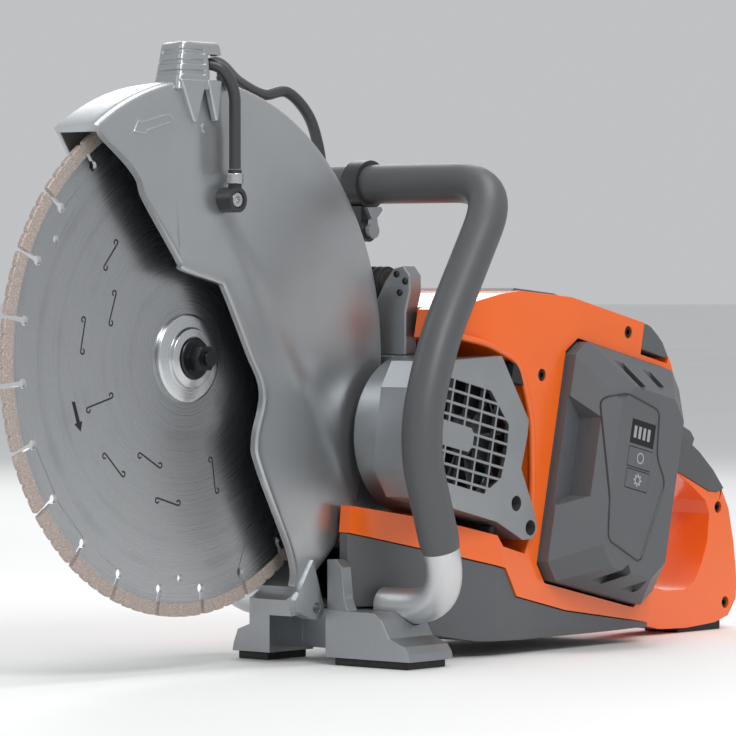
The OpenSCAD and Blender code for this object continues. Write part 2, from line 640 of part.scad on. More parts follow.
// The tail and the hood are drawn for a rim of 186 mm and move out or in with it
rim_shift = guard_r - 186;
lug_at = [110.5, -174.4];
tail_shift = rim_shift * unit(lug_at);
module guard_tail() color("#c3c6c8") at_axis() difference() {
    translate([tail_shift[0], 0, tail_shift[1]]) {
        slab(guard_left, 14) polygon([
            [86, -179], [80, -166], [96, -152], [110, -152], [110, -164], [98, -178]]);
        slab(guard_left - 2, guard_left + 8) {
            polygon([[107, -141], [88.5, -168], [90, -176], [106, -182], [118, -173]]);
            translate(lug_at) circle(8);
        }
    }
    rod_y(guard_left, 60, guard_r);
    rod_y(-60, 60, lug_hole_d / 2, lug_at[0] + tail_shift[0], lug_at[1] + tail_shift[1]);
}
hood_foot = [[-33, -24], [21, -24], [21, 14], [-17, 14]];
hood_top = [[-26, -21.5], [14, -21.5], [14, 11.5], [-12, 11.5]];
hood_wall = 2.5;
module hood_body(inset) hull() {
    translate([0, 0, 178]) linear_extrude(1) offset(delta = -inset) polygon(hood_foot);
    translate([0, 0, 212.5 - inset]) linear_extrude(1) offset(delta = -inset) polygon(hood_top);
}
module guard_hood() color("#c3c6c8") at_axis() translate([0, 0, rim_shift]) {
    difference() {
        hood_body(0);
        hood_body(hood_wall);
        // way out for the near hose, then for the far hose and the supply
        translate([0, -30, 170]) cube([40, 20, 30]);
        translate([0, -30, 170]) cube([14, 20, 35]);
        translate([2, -12, 170]) cube([40, 40, 35.5]);
        translate([0, 0, -rim_shift]) rod_y(-30, 30, guard_r + 0.1);
    }
    // two pointed fins that run down over the left wall
    slab(-23.3, guard_left - 0.05) {
        polygon([[-30, 187.5], [-4, 187.5], [-13.5, 158.5], [-17, 158.5]]);
        polygon([[-3, 187.5], [12, 187.5], [8.5, 160], [5.5, 160]]);
    }
}
// Joint of the three hoses, on the rim inside the hood
module hose_tee() difference() {
    translate([1, -10, 178 + rim_shift]) cube([12, 10, 25]);
    rod_y(-30, 30, guard_r);
}
nozzle = [21, 107];
module spray_nozzles() for (s = [-1, 1]) {
    y0 = s < 0 ? guard_left - 14 : guard_right + 0.05;
    difference() {
        union() {
            rod_y(y0, y0 + 13.95, 8.5, nozzle[0] - 4, nozzle[1]);
            translate([nozzle[0], y0 + 7, nozzle[1]]) cylinder(h = 20.5, r = 4.6);
        }
        rod_y(s < 0 ? y0 - 1 : y0 + 9.4, s < 0 ? y0 + 4.6 : y0 + 20, 5.6, nozzle[0] - 4, nozzle[1]);
    }
}
module water_fittings() color("#2b2c2e") at_axis() {
    hose_tee();
    spray_nozzles();
}
module nozzle_screws() color("#b9bcbf") at_axis() for (s = [-1, 1]) difference() {
    y0 = s < 0 ? guard_left - 13.2 : guard_right + 9.5;
    rod_y(y0, y0 + 3.7, 5.3, nozzle[0] - 4, nozzle[1]);
    slab(s < 0 ? y0 - 1 : y0 + 2, s < 0 ? y0 + 1.7 : y0 + 5) translate([nozzle[0] - 4, nozzle[1]])
        for (a = [0, 60, 120]) rotate(a) square([4.4, 1.3], center = true);
}
module hose_clamps() color("#c4c7c9") at_axis() for (y = [guard_left - 7, guard_right + 7])
    translate([nozzle[0], y, nozzle[1] + 11]) difference() {
        union() {
            cylinder(h = 7, r = hose_d / 2 + 1.9);
            translate([3.5, -2, 0]) cube([5, 4, 7]);
        }
        translate([0, 0, -1]) cylinder(h = 9, r = hose_d / 2 + 0.9);
    }
module guard_hoses() color("#3a3b3d") at_axis() {
    sweep(spline(left_hose, 4), hose_d / 2, 10);
    sweep(spline(right_hose, 4), hose_d / 2, 10);
}
module supply_hose() color("#3a3b3d") at_axis() sweep(spline(supply_route, 4), hose_d / 2, 10);

// ---- water tap ----
module tap_body() color("#3f4143") at_axis() {
    difference() {
        rod_y(tap_y - 7, tap_y + 7, tube_d / 2 + sleeve_t + 3.2, 212, 121);
        rod_y(0, 60, tube_d / 2 + sleeve_t + 0.15, 212, 121);
    }
    rod_y(tap_y - 8.5, tap_y + 18, 8, tap[0], tap[1]);
    translate([tap[0] - 6, tap_y - 6, tap[1] + 2]) cube([12, 12, 15.5]);
    // inlet that the supply hose is pushed against
    translate([tap[0] - 18.9, tap_y, tap[1]]) rotate([0, 90, 0]) cylinder(h = 14, r = 4);
    // shoulder and plug of the water quick connector, facing rearward
    translate([tap[0] + 4, tap_y + 11, tap[1]]) rotate([0, 90, 0]) {
        cylinder(h = 7, r = 6.8);
        translate([0, 0, 7 - e]) cylinder(h = 15, r = nipple_d / 2);
    }
}
module tap_lever() color("#c4c7c9") at_axis() {
    rod_y(tap_y - 13.5, tap_y - 9, 5.5, tap[0], tap[1]);
    slab(tap_y - 13.5, tap_y - 10.5) translate(tap) polygon([
        [-5, -1], [5, -2], [3, 9], [9, 14.6], [7.5, 17], [-8, 16.5], [-3, 8]]);
}

// ---- battery ----
face_u = [26, 102];
face_w = [17, 149];
module battery_case() color("#47494c") on_body() difference() {
    slab(-body_left + 0.3, -body_left + battery_depth) battery_outline(-1);
    slab(-body_left - 1, -body_left + battery_depth - 3) battery_outline(-4);
    for (i = [0:3]) translate([battery_u + 33 + i * 18, -body_left + battery_depth - 6, battery_w + 69])
        cube([7, 8, 24]);
}
// Cylindrical cells in rows as close as their holder lets them
cell_r = 10.5;
cell_columns = floor((battery_l - 18) / 22);
cell_rows = floor((battery_h - 12) / 23.5);
module cell_pack() color("#3f6b8a") on_body()
    for (i = [0:cell_columns - 1]) for (j = [0:cell_rows - 1])
        rod_y(-body_left + 2, -body_left + battery_depth - 8, cell_r,
            battery_u + 19.5 + i * 22.5, battery_w + 18 + j * 23.5);
module battery_cover() color("#55575a") on_body() difference() {
    union() {
        slab(-body_left - 7, -body_left + 0.25) battery_outline(-1);
        hull() {
            slab(-body_left - 8, -body_left - 7 + e) battery_outline(-1);
            slab(-body_left - battery_proud, -body_left - battery_proud + 1)
                translate([battery_u + face_u[0], battery_w + face_w[0]])
                    chamfered(face_u[1] - face_u[0], face_w[1] - face_w[0], 14);
        }
    }
    // finger recess in the front flank
    slab(-body_left - 27, -body_left - 6) polygon([
        [battery_u - 2, battery_w + 52], [battery_u + 17, battery_w + 64], [battery_u + 17, battery_w + 122],
        [battery_u - 2, battery_w + 136]]);
    keypad_cut();
    for (s = slots) slab(-body_left - 50, -body_left - 17) translate([battery_u + s[0], battery_w + s[1]])
        rotate(s[2]) square([s[3], 9], center = true);
}
// Moulded slots in the sloping top and bottom: place, angle and length
slots = [[44, 160, -55, 26], [76, 163, -60, 18], [50, 9, 40, 30], [84, 6, 40, 18]];
screen_box = [353, 13, 28.5, 17.5];
power_box = [353.5, -3.6, 27.5, 14];
mode_box = [354, -19.2, 26.5, 13.6];
module key_plate(b, y0, y1, grow) slab(y0, y1) offset(delta = grow)
    translate([b[0], b[1]]) square([b[2], b[3]]);
module keypad_cut() {
    face = -body_left - battery_proud;
    key_plate(screen_box, face - 1, face + 2, 0.05);
    key_plate(power_box, face - 1, face + 7, part_gap);
    key_plate(mode_box, face - 1, face + 7, part_gap);
}
module battery_screen() color("#0b0b0c") on_body()
    key_plate(screen_box, -body_left - battery_proud + 0.4, -body_left - battery_proud + 2, 0);
module power_button() color("#4a4c4f") on_body()
    key_plate(power_box, -body_left - battery_proud - 0.6, -body_left - battery_proud + 4.5, 0);
module mode_button() color("#4a4c4f") on_body()
    key_plate(mode_box, -body_left - battery_proud - 0.6, -body_left - battery_proud + 4.5, 0);
module battery_latch() color("#3d3f42") on_body()
    slab(-body_left - 0.5, -body_left + 14) polygon([
        [399, 90], [399, 110], [406, 109.2], [417, 104.2], [423, 100.6], [431, 92.6], [431, 90]]);

base_tray();
frame_left();
frame_right();
top_strip();
battery_bay();
bay_terminals();
controller();
wiring();
front_foot();
front_foot_pads();
handle_tube();
handle_sleeve();
rear_handle_left();
rear_handle_right();
handle_insert();
rear_foot_pad();
case_screws();
motor_housing();
fan_grille();
stator();
rubber_dampers();
drive_arm();
belt_cover();
drive_belt();
bearings();
ear_bracket();
tap_body();
trigger_switch();
handle_pins();
handle_springs();
spindle();
driven_pulley();
blade_flanges();
blade_core();
blade_segments();
spindle_bolt();
motor_shaft();
rotor();
cooling_fan();
drive_pulley();
guard_rim();
guard_left_wall();
guard_right_wall();
guard_tail();
guard_hood();
water_fittings();
nozzle_screws();
hose_clamps();
guard_hoses();
supply_hose();
tap_lever();
trigger();
lockout_lever();
battery_case();
battery_cover();
battery_screen();
cell_pack();
battery_latch();
power_button();
mode_button();
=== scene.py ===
# %% [markdown]
# # A battery cut-off saw, finished in Blender
# The shape and the joints of this saw come from its CAD model, which is loaded first and is
# never moved. What follows is what a model maker does after machining the parts: round the
# edges, replace the plain castings by ones with their real relief, lay the hoses and give each
# surface the finish of its material. All sizes are in millimetres from the blade axis, and one
# function turns them into the frame's metres.

# %% Load the frame
import json
import math

import bmesh
import bpy
import numpy as np
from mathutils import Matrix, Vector

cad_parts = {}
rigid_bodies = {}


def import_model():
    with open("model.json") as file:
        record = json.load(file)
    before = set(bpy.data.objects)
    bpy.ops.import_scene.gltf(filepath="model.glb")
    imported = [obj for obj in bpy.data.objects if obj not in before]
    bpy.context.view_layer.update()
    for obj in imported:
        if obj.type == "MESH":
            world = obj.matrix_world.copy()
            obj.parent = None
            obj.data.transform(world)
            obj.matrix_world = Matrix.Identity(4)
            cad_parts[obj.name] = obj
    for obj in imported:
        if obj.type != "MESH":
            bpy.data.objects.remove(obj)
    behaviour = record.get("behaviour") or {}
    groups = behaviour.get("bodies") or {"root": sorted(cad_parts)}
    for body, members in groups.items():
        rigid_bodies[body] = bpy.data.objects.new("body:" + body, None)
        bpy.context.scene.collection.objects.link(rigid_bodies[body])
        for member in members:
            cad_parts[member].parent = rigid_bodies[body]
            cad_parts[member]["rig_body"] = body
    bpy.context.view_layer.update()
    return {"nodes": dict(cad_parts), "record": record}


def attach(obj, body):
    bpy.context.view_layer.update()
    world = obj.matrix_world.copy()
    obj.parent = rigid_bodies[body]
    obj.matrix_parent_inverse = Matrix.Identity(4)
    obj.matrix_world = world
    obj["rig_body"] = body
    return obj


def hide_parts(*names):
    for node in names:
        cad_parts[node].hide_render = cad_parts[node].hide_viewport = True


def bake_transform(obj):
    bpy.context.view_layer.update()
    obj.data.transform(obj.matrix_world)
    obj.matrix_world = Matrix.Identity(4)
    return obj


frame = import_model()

# %% [markdown]
# ## Two sets of coordinates
# The blade, guard and front handle are laid out level, from the blade axis. The body leans
# 12.5 degrees nose-up, so it is easier to draw it in u (along it) and w (across it) and to turn
# the result. Both helpers take numbers or whole arrays and give points in metres.

# %% Coordinates
LEAN = math.radians(12.5)
MIDDLE_X = (598 * math.cos(LEAN) - 60 * math.sin(LEAN) - 175) / 2
AXLE_HEIGHT = 214
MIDDLE_Y = -10


def level(x, y, z):
    """Points in metres from x rearward, y to the right and z up, in mm from the blade axis."""
    x, y, z = np.broadcast_arrays(*(np.asarray(v, float) for v in (x, y, z)))
    return np.stack([x - MIDDLE_X, y - MIDDLE_Y, z + AXLE_HEIGHT], -1) / 1000


def leaning(u, y, w):
    """Points in metres from u along the leaning body, y to the right and w across it, in mm."""
    u, w = np.asarray(u, float), np.asarray(w, float)
    return level(u * math.cos(LEAN) + w * math.sin(LEAN), y, w * math.cos(LEAN) - u * math.sin(LEAN))


def smooth_step(value):
    """0 below 0, 1 above 1, and an S-curve between: three v squared minus two v cubed."""
    v = np.clip(value, 0, 1)
    return v * v * (3 - 2 * v)


axle = level(0, 0, 0)
print("blade axle at", axle.round(4))

# %% [markdown]
# ## From a grid of points to a piece
# Most pieces here are a grid: a closed profile repeated at stations along a path, or a flat
# sheet whose height is a formula. `skin` joins neighbouring points into four-sided faces, and
# `piece` merges doubled points, turns every face outwards and hands the mesh to the body that
# it rides on.

# %% Grids and pieces
SAME_POINT = 2e-6    # metres: points closer than this are one point


def skin(points, close_rows=False, close_columns=True, caps=True, keep=None):
    """Points of a grid and the faces between neighbours; caps shut the first and last row."""
    rows, columns = points.shape[:2]
    i, j = np.meshgrid(np.arange(rows if close_rows else rows - 1),
                       np.arange(columns if close_columns else columns - 1), indexing="ij")
    after_i, after_j = (i + 1) % rows, (j + 1) % columns
    corners = np.stack([i * columns + j, i * columns + after_j,
                        after_i * columns + after_j, after_i * columns + j], -1)
    faces = corners[keep] if keep is not None else corners.reshape(-1, 4)
    faces = faces.tolist()
    if caps and not close_rows:
        faces += [list(range(columns)), list(range((rows - 1) * columns, rows * columns))]
    return points.reshape(-1, 3), faces


def shade(mesh, angle):
    """Smooth shading, with a hard line where two faces meet at more than angle degrees."""
    mesh.shade_smooth()
    mesh.set_sharp_from_angle(angle=math.radians(angle))


def piece(name, shells, body, slot, stands_for=(), angle=35):
    """One object from several (points, faces) shells, riding on a body and standing for CAD parts."""
    firsts = np.cumsum([0] + [len(points) for points, faces in shells])
    corners = np.concatenate([points for points, faces in shells])
    faces = [[k + first for k in face] for shell, first in zip(shells, firsts) for face in shell[1]]
    mesh = bpy.data.meshes.new(name)
    mesh.from_pydata(corners.tolist(), [], faces)
    work = bmesh.new()
    work.from_mesh(mesh)
    bmesh.ops.remove_doubles(work, verts=work.verts, dist=SAME_POINT)
    bmesh.ops.recalc_face_normals(work, faces=work.faces)
    work.to_mesh(mesh)
    work.free()
    shade(mesh, angle)
    made = bpy.data.objects.new(name, mesh)
    bpy.context.scene.collection.objects.link(made)
    if body:
        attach(made, body)
    if stands_for:
        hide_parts(*stands_for)
    mesh.materials.append(FINISHES[slot])
    print(f"{name}: {len(mesh.vertices)} points, {len(mesh.polygons)} faces")
    return made


# %% [markdown]
# ## Surfaces: one way to build a finish
# A finish is a node tree that ends in the Principled shader. One small function adds a node,
# sets it and links it. A colour is written as the sRGB hex that a paint chart would give, and
# turned to linear once.

# %% Node and colour helpers
def linear(hex_colour, share=1.0):
    """sRGB hex to linear RGBA: (c + 0.055) / 1.055 to the power 2.4, dark values over 12.92."""
    c = np.array([int(hex_colour[k:k + 2], 16) for k in (1, 3, 5)]) / 255
    c = np.where(c <= 0.04045, c / 12.92, ((c + 0.055) / 1.055) ** 2.4) * share
    return (*c.clip(0, 1).tolist(), 1.0)


def add(tree, kind, inputs=None, **settings):
    """Adds a node, sets its properties, and sets or links its inputs; a link is (node, output)."""
    made = tree.nodes.new("ShaderNode" + kind)
    for key, value in settings.items():
        setattr(made, key, value)
    for key, value in (inputs or {}).items():
        if isinstance(value, tuple) and isinstance(value[0], bpy.types.Node):
            tree.links.new(value[0].outputs[value[1]], made.inputs[key])
        else:
            made.inputs[key].default_value = value
    return made


def new_finish(name, **shader):
    """An empty material with a Principled shader whose sockets are set, and its tree."""
    material = bpy.data.materials.new(name)
    material.use_nodes = True
    tree = material.node_tree
    principled = tree.nodes["Principled BSDF"]
    for key, value in shader.items():
        principled.inputs[key.replace("_", " ")].default_value = value
    return material, tree, principled


MM = 1000.0          # Object coordinates are metres, so a 1 mm grain has a scale of 1000
FINISHES = {}

# %% [markdown]
# ## Moulded, cast and painted surfaces
# Nylon covers, die castings, powder coat and rubber differ in colour, gloss and grain, but are
# built alike. A coarse noise varies the tone a little, as fading and handling do. A fine noise
# of the real grain's size roughens the gloss and raises a bump of a few hundredths of a
# millimetre at most.

# %% The grained finish
def grained(name, hex_colour, tone, grain_mm, depth_mm, gloss_spread, **shader):
    """Colour times 1 - tone to 1 + tone, and a grain that varies roughness by gloss_spread each way."""
    material, tree, principled = new_finish(name, **shader)
    place = add(tree, "TexCoord")
    drift = add(tree, "TexNoise", {"Vector": (place, "Object"), "Scale": MM / 55, "Detail": 3.0})
    shades = add(tree, "ValToRGB", {"Fac": (drift, "Fac")})
    shades.color_ramp.elements[0].position, shades.color_ramp.elements[1].position = 0.3, 0.7
    shades.color_ramp.elements[0].color = linear(hex_colour, 1 - tone)
    shades.color_ramp.elements[1].color = linear(hex_colour, 1 + tone)
    grain = add(tree, "TexNoise", {"Vector": (place, "Object"), "Scale": MM / grain_mm, "Detail": 2.0})
    rough = principled.inputs["Roughness"].default_value
    spread = add(tree, "MapRange", {"Value": (grain, "Fac"), "From Min": 0.3, "From Max": 0.7,
                                    "To Min": rough - gloss_spread, "To Max": rough + gloss_spread})
    relief = add(tree, "Bump", {"Height": (grain, "Fac"), "Strength": 1.0, "Distance": depth_mm / MM})
    tree.links.new(shades.outputs["Color"], principled.inputs["Base Color"])
    tree.links.new(spread.outputs["Result"], principled.inputs["Roughness"])
    tree.links.new(relief.outputs["Normal"], principled.inputs["Normal"])
    return material


# Powder coat on cast magnesium, sprayed and baked: a satin silver-grey whose faint orange peel
# softens the reflections of the lamps.
FINISHES["guard_paint"] = grained("powder_coat_silver", "#B4B7B9", 0.04, 1.3, 0.01, 0.05,
                                  Metallic=0.85, Roughness=0.36)
# Die-cast aluminium, shot-blasted: matte and slightly cool, bright only on its rounded edges.
FINISHES["cast_alu"] = grained("blasted_die_cast", "#A0A3A6", 0.06, 0.7, 0.02, 0.07,
                               Metallic=0.9, Roughness=0.4)
# Glossy nylon moulded in a polished tool: a deep orange with clean, long reflections.
FINISHES["orange_shell"] = grained("gloss_nylon_orange", "#EF671C", 0.02, 3.0, 0.004, 0.03,
                                   Roughness=0.2, IOR=1.53, Coat_Weight=0.25, Coat_Roughness=0.08)
# Glass-filled nylon from a spark-eroded tool: dark grey with a fine, even texture.
FINISHES["grey_plastic"] = grained("textured_nylon_grey", "#56585B", 0.05, 0.6, 0.035, 0.08,
                                   Roughness=0.46, IOR=1.53)
# The same nylon with more carbon black, for small fittings and the inside.
FINISHES["dark_plastic"] = grained("textured_nylon_black", "#2A2B2D", 0.06, 0.6, 0.03, 0.08,
                                   Roughness=0.4, IOR=1.53)
# Thermoplastic elastomer moulded over the grips: grey, soft to the light, with a short sheen.
FINISHES["grip"] = grained("soft_grip_grey", "#4F5153", 0.04, 0.8, 0.03, 0.06, Roughness=0.44, IOR=1.5)
# Compression-moulded rubber for soles and dampers: nearly black and dull.
FINISHES["rubber"] = grained("moulded_rubber_black", "#1D1E1F", 0.1, 0.9, 0.05, 0.08,
                             Roughness=0.62, IOR=1.52)
# Extruded hose of EPDM rubber: smooth, dark grey, with one soft line of light along it.
FINISHES["hose_rubber"] = grained("extruded_epdm_grey", "#37393B", 0.05, 1.2, 0.012, 0.05,
                                  Roughness=0.36, IOR=1.52)
# Black oxide on machined steel: a dark, slightly blue skin that still shines like metal.
FINISHES["black_steel"] = grained("black_oxide_steel", "#3A3B3D", 0.12, 0.5, 0.02, 0.08,
                                  Metallic=0.9, Roughness=0.34)
# Half-hard brass for the contacts, stamped and left plain.
FINISHES["brass"] = grained("stamped_brass", "#C9A45A", 0.06, 0.6, 0.01, 0.06, Metallic=1.0, Roughness=0.3)
# PVC shrink sleeve round the cells: a thin gloss film in steel blue.
FINISHES["cell_wrap"] = grained("shrink_film_blue", "#3C6684", 0.05, 2.0, 0.02, 0.05,
                                Roughness=0.28, IOR=1.54)
# Acrylic window of the battery's display: black behind a polished face.
FINISHES["screen"] = grained("acrylic_black", "#08090A", 0.3, 4.0, 0.002, 0.02, Roughness=0.08, IOR=1.49)
print("grained finishes:", len(FINISHES))

# %% [markdown]
# ## Ground, turned and drawn metal
# A tool that turns or runs along the metal leaves fine parallel lines, and they, not the metal,
# give the stretched highlights. On the blade and the flanges the lines are circles, so the
# noise reads the distance from the axle. On the drawn handle tube they are too fine to tell
# apart, so the tube keeps the even grain of the finishes above, only very shallow.

# %% Lined metal
def lined(name, hex_colour, centre, line_mm, depth_mm, roughness, tone):
    """Metal whose noise reads the distance from an axis along Y: the root of x squared plus z squared."""
    material, tree, principled = new_finish(name, Metallic=1.0, Roughness=roughness)
    place = add(tree, "TexCoord")
    centred = add(tree, "VectorMath", {0: (place, "Object"), 1: tuple(centre)}, operation="SUBTRACT")
    flat = add(tree, "VectorMath", {0: (centred, "Vector"), 1: (1.0, 0.0, 1.0)}, operation="MULTIPLY")
    radius = add(tree, "VectorMath", {0: (flat, "Vector")}, operation="LENGTH")
    rings = add(tree, "TexNoise", {"W": (radius, "Value"), "Scale": MM / line_mm, "Detail": 4.0,
                                   "Roughness": 0.6}, noise_dimensions="1D")
    wide = add(tree, "TexNoise", {"W": (radius, "Value"), "Scale": MM / (line_mm * 14), "Detail": 2.0},
               noise_dimensions="1D")
    stain = add(tree, "TexNoise", {"Vector": (place, "Object"), "Scale": MM / 38, "Detail": 4.0})
    both = add(tree, "Math", {0: (wide, "Fac"), 1: (stain, "Fac")}, operation="ADD")
    shades = add(tree, "ValToRGB", {"Fac": (both, "Value")})
    shades.color_ramp.elements[0].position, shades.color_ramp.elements[1].position = 0.4, 0.95
    shades.color_ramp.elements[0].color = linear(hex_colour, 1 - tone)
    shades.color_ramp.elements[1].color = linear(hex_colour, 1 + tone)
    spread = add(tree, "MapRange", {"Value": (rings, "Fac"), "From Min": 0.3, "From Max": 0.7,
                                    "To Min": roughness - 0.07, "To Max": roughness + 0.09})
    relief = add(tree, "Bump", {"Height": (rings, "Fac"), "Strength": 1.0, "Distance": depth_mm / MM})
    tree.links.new(shades.outputs["Color"], principled.inputs["Base Color"])
    tree.links.new(spread.outputs["Result"], principled.inputs["Roughness"])
    tree.links.new(relief.outputs["Normal"], principled.inputs["Normal"])
    return material


# Tempered saw steel, ground on a turntable: grey, with rings that smear every highlight round.
# The real lines are 0.1 mm apart; they are drawn at 0.7 mm so that they show.
FINISHES["steel_blade"] = lined("ground_saw_steel", "#A9ABAD", axle, 0.7, 0.003, 0.3, 0.1)
# Turned carbon steel of flanges and shafts, brighter because the cut is finer.
FINISHES["steel"] = lined("turned_steel", "#C9CBCD", axle, 0.4, 0.006, 0.24, 0.06)

# Drawn aluminium tube: the brightest metal on the saw, satin from the drawing die.
FINISHES["tube_alu"] = grained("brushed_tube_alu", "#D2D3D4", 0.03, 0.6, 0.002, 0.06,
                               Metallic=0.9, Roughness=0.42)

# Sintered metal with diamond grit, opened by a dressing cut: pinkish grey, dull and rough. The
# grit is about 0.4 mm, drawn at 0.9 mm so that it shows.
material, tree, principled = new_finish("sintered_diamond", Metallic=0.5, Roughness=0.6)
place = add(tree, "TexCoord")
grit = add(tree, "TexVoronoi", {"Vector": (place, "Object"), "Scale": MM / 0.9})
spots = add(tree, "ValToRGB", {"Fac": (grit, "Distance")})
spots.color_ramp.elements[0].color = linear("#8C7F78")
spots.color_ramp.elements[1].color = linear("#CFC2BA")
pits = add(tree, "Bump", {"Height": (grit, "Distance"), "Strength": 1.0, "Distance": 0.12 / MM})
tree.links.new(spots.outputs["Color"], principled.inputs["Base Color"])
tree.links.new(pits.outputs["Normal"], principled.inputs["Normal"])
FINISHES["diamond_segment"] = material

# Enamelled copper wire, wound round the stator: warm and glossy, in turns 0.9 mm apart. Its colour runs in bands
# from dark brown to bright copper: painted shade between the turns and a painted highlight on each turn's crest.
material, tree, principled = new_finish("enamelled_copper", Metallic=0.7, Roughness=0.3)
place = add(tree, "TexCoord")
turns = add(tree, "TexWave", {"Vector": (place, "Object"), "Scale": MM / 3.0, "Distortion": 0.5},
            bands_direction="Y")
# Painted light: dark brown stands for the shade between turns, bright copper for the highlight on each crest.
turn_light_and_shade = add(tree, "ValToRGB", {"Fac": (turns, "Fac")})
turn_light_and_shade.color_ramp.elements[0].color = linear("#5A3018")
turn_light_and_shade.color_ramp.elements[1].color = linear("#B87040")
tree.links.new(turn_light_and_shade.outputs["Color"], principled.inputs["Base Color"])
FINISHES["copper_winding"] = material
print("finishes:", sorted(FINISHES))

# %% [markdown]
# ## Rounding the machined parts
# The CAD solids have knife edges, and real parts never do: tools, moulds and files leave at
# least a few tenths of a millimetre, and that thin line of light is what makes a part look
# solid. Each part that keeps its CAD shape is copied, its loose triangles are merged into flat
# faces, and a Bevel rounds the edges that turn by more than 28 degrees. A rule may pick the long
# outer edges, which get a larger radius.

# %% Rounding helper
SHARP = 28           # degrees: an edge that turns by more than this is a corner to round
SLOT_OF = {part["node"]: part["material_slot"] for part in frame["record"]["subparts"]}
BODY_OF = {n: o["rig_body"] for n, o in frame["nodes"].items()}


def rounded_copy(node, small, large=None, where=None, segments=3, slot=None):
    """A merged copy of a CAD part with its sharp edges rounded by small mm, or large where told."""
    source = frame["nodes"][node]
    mesh = bpy.data.meshes.new(node + "_finished")
    work = bmesh.new()
    work.from_mesh(source.data)
    bmesh.ops.remove_doubles(work, verts=work.verts, dist=SAME_POINT)
    bmesh.ops.dissolve_degenerate(work, edges=work.edges, dist=1e-6)
    bmesh.ops.dissolve_limit(work, angle_limit=math.radians(0.5), verts=work.verts, edges=work.edges)
    bmesh.ops.connect_verts_concave(work, faces=work.faces)
    work.to_mesh(mesh)
    weight = np.zeros(len(work.edges), np.float32)
    ends = np.array([[v.co[:] for v in edge.verts] for edge in work.edges]).reshape(-1, 2, 3) * 1000
    bend = np.array([edge.calc_face_angle(0.0) for edge in work.edges])
    work.free()
    ends += np.array([MIDDLE_X, MIDDLE_Y, -AXLE_HEIGHT])
    widest = large or small
    sharp = bend > math.radians(SHARP)
    weight[sharp] = small / widest
    if where:
        weight[sharp & where(ends)] = 1.0
    layer = mesh.attributes.new("bevel_weight_edge", "FLOAT", "EDGE")
    layer.data.foreach_set("value", weight)
    shade(mesh, SHARP)
    made = bpy.data.objects.new(node + "_finished", mesh)
    bpy.context.scene.collection.objects.link(made)
    bevel = made.modifiers.new("rounding", "BEVEL")
    bevel.limit_method, bevel.width, bevel.segments = "WEIGHT", widest / 1000, segments
    flat = made.modifiers.new("flat_faces", "WEIGHTED_NORMAL")
    flat.keep_sharp = True
    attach(made, BODY_OF[node])
    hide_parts(node)
    slot = slot or SLOT_OF[node]
    mesh.materials.clear()
    mesh.materials.append(FINISHES[slot])
    return made


def long_edges_at(y):
    """A rule for edges longer than 5 mm that lie in the plane at y."""
    return lambda ends: (np.abs(ends[:, :, 1] - y) < 0.3).all(1) & (np.ptp(ends, 1).max(1) > 5)


def lean_back(ends):
    """The u and w of edge ends, undoing the body's lean."""
    x, z = ends[..., 0], ends[..., 2]
    return x * math.cos(LEAN) - z * math.sin(LEAN), x * math.sin(LEAN) + z * math.cos(LEAN)


# %% [markdown]
# ## The orange covers
# Two glossy mouldings meet on a seam inside the saw. Their side walls turn into the top and
# bottom with a radius of several millimetres, while the battery's opening has a crisp edge. So
# the rule picks the edges on the outer side that are far from the battery.

# %% Covers
BATTERY_U, BATTERY_W = (312, 441), (-95.5, 81.5)
LATCH_U, LATCH_W = (396, 434), 84
COVER_SCREWS = ((287.5, 48.3), (380.5, 99.2))
COVER_MIDDLE, COVER_REACH = -11.5, 66.5


def outline_of_cover(ends):
    """Edges in the cover's side face that are not round the battery, its latch or a screw."""
    u, w = lean_back(ends)
    near = (u > BATTERY_U[0] - 4) & (u < BATTERY_U[1] + 3)
    near &= (w > BATTERY_W[0] - 4) & (w < BATTERY_W[1] + 3)
    near |= (u > LATCH_U[0]) & (u < LATCH_U[1]) & (w > LATCH_W)
    for screw_u, screw_w in COVER_SCREWS:
        near |= np.hypot(u - screw_u, w - screw_w) < 6
    outer = np.abs(np.abs(ends[:, :, 1] - COVER_MIDDLE) - COVER_REACH) < 0.3
    return outer.all(1) & ~near.any(1)


rounded_copy("frame_left", 0.7, 4.5, outline_of_cover, segments=4)
rounded_copy("frame_right", 0.7, 4.5, outline_of_cover, segments=4)
for node, outer_y in (("rear_handle_left", -47), ("rear_handle_right", -9)):
    rounded_copy(node, 0.5, 7.0, long_edges_at(outer_y), segments=5)
print("covers rounded")

# %% [markdown]
# ## Everything else that keeps its CAD shape
# Small parts get a small radius, castings a larger one. Parts deep inside only need to be
# right when the battery is out, but the same call does them all.

# %% Rounded parts
RADII = {
    "base_tray": 1.6, "top_strip": 0.8, "battery_bay": 0.6, "bay_terminals": 0.3, "controller": 0.6,
    "front_foot": 2.2, "front_foot_pads": 1.0, "handle_insert": 1.2, "rear_foot_pad": 1.0,
    "motor_housing": 1.2, "fan_grille": 0.7, "rubber_dampers": 0.7, "drive_arm": 1.2, "belt_cover": 1.5,
    "ear_bracket": 1.2, "tap_body": 0.8, "trigger_switch": 0.5, "driven_pulley": 0.3, "drive_pulley": 0.3,
    "guard_right_wall": 0.8, "guard_tail": 1.0, "tap_lever": 0.7, "trigger": 1.5,
    "lockout_lever": 1.5, "battery_case": 0.8, "battery_cover": 1.6, "battery_latch": 1.2,
    "power_button": 0.8, "mode_button": 0.8, "battery_screen": 0.2, "cooling_fan": 0.3,
    "water_fittings": 0.8, "hose_clamps": 0.4, "blade_flanges": 0.3, "blade_core": 0.15,
    "spindle_bolt": 0.6, "spindle": 0.3, "motor_shaft": 0.4, "rotor": 0.5, "stator": 2.0,
    "bearings": 0.4, "drive_belt": 0.6, "cell_pack": 0.8, "handle_pins": 0.2, "handle_springs": 0.1, "wiring": 0.1,
}
for node, radius in RADII.items():
    rounded_copy(node, radius)
for node, source in frame["nodes"].items():
    source.data.materials.clear()
    source.data.materials.append(FINISHES[SLOT_OF[node]])
print("rounded", len(RADII), "parts")

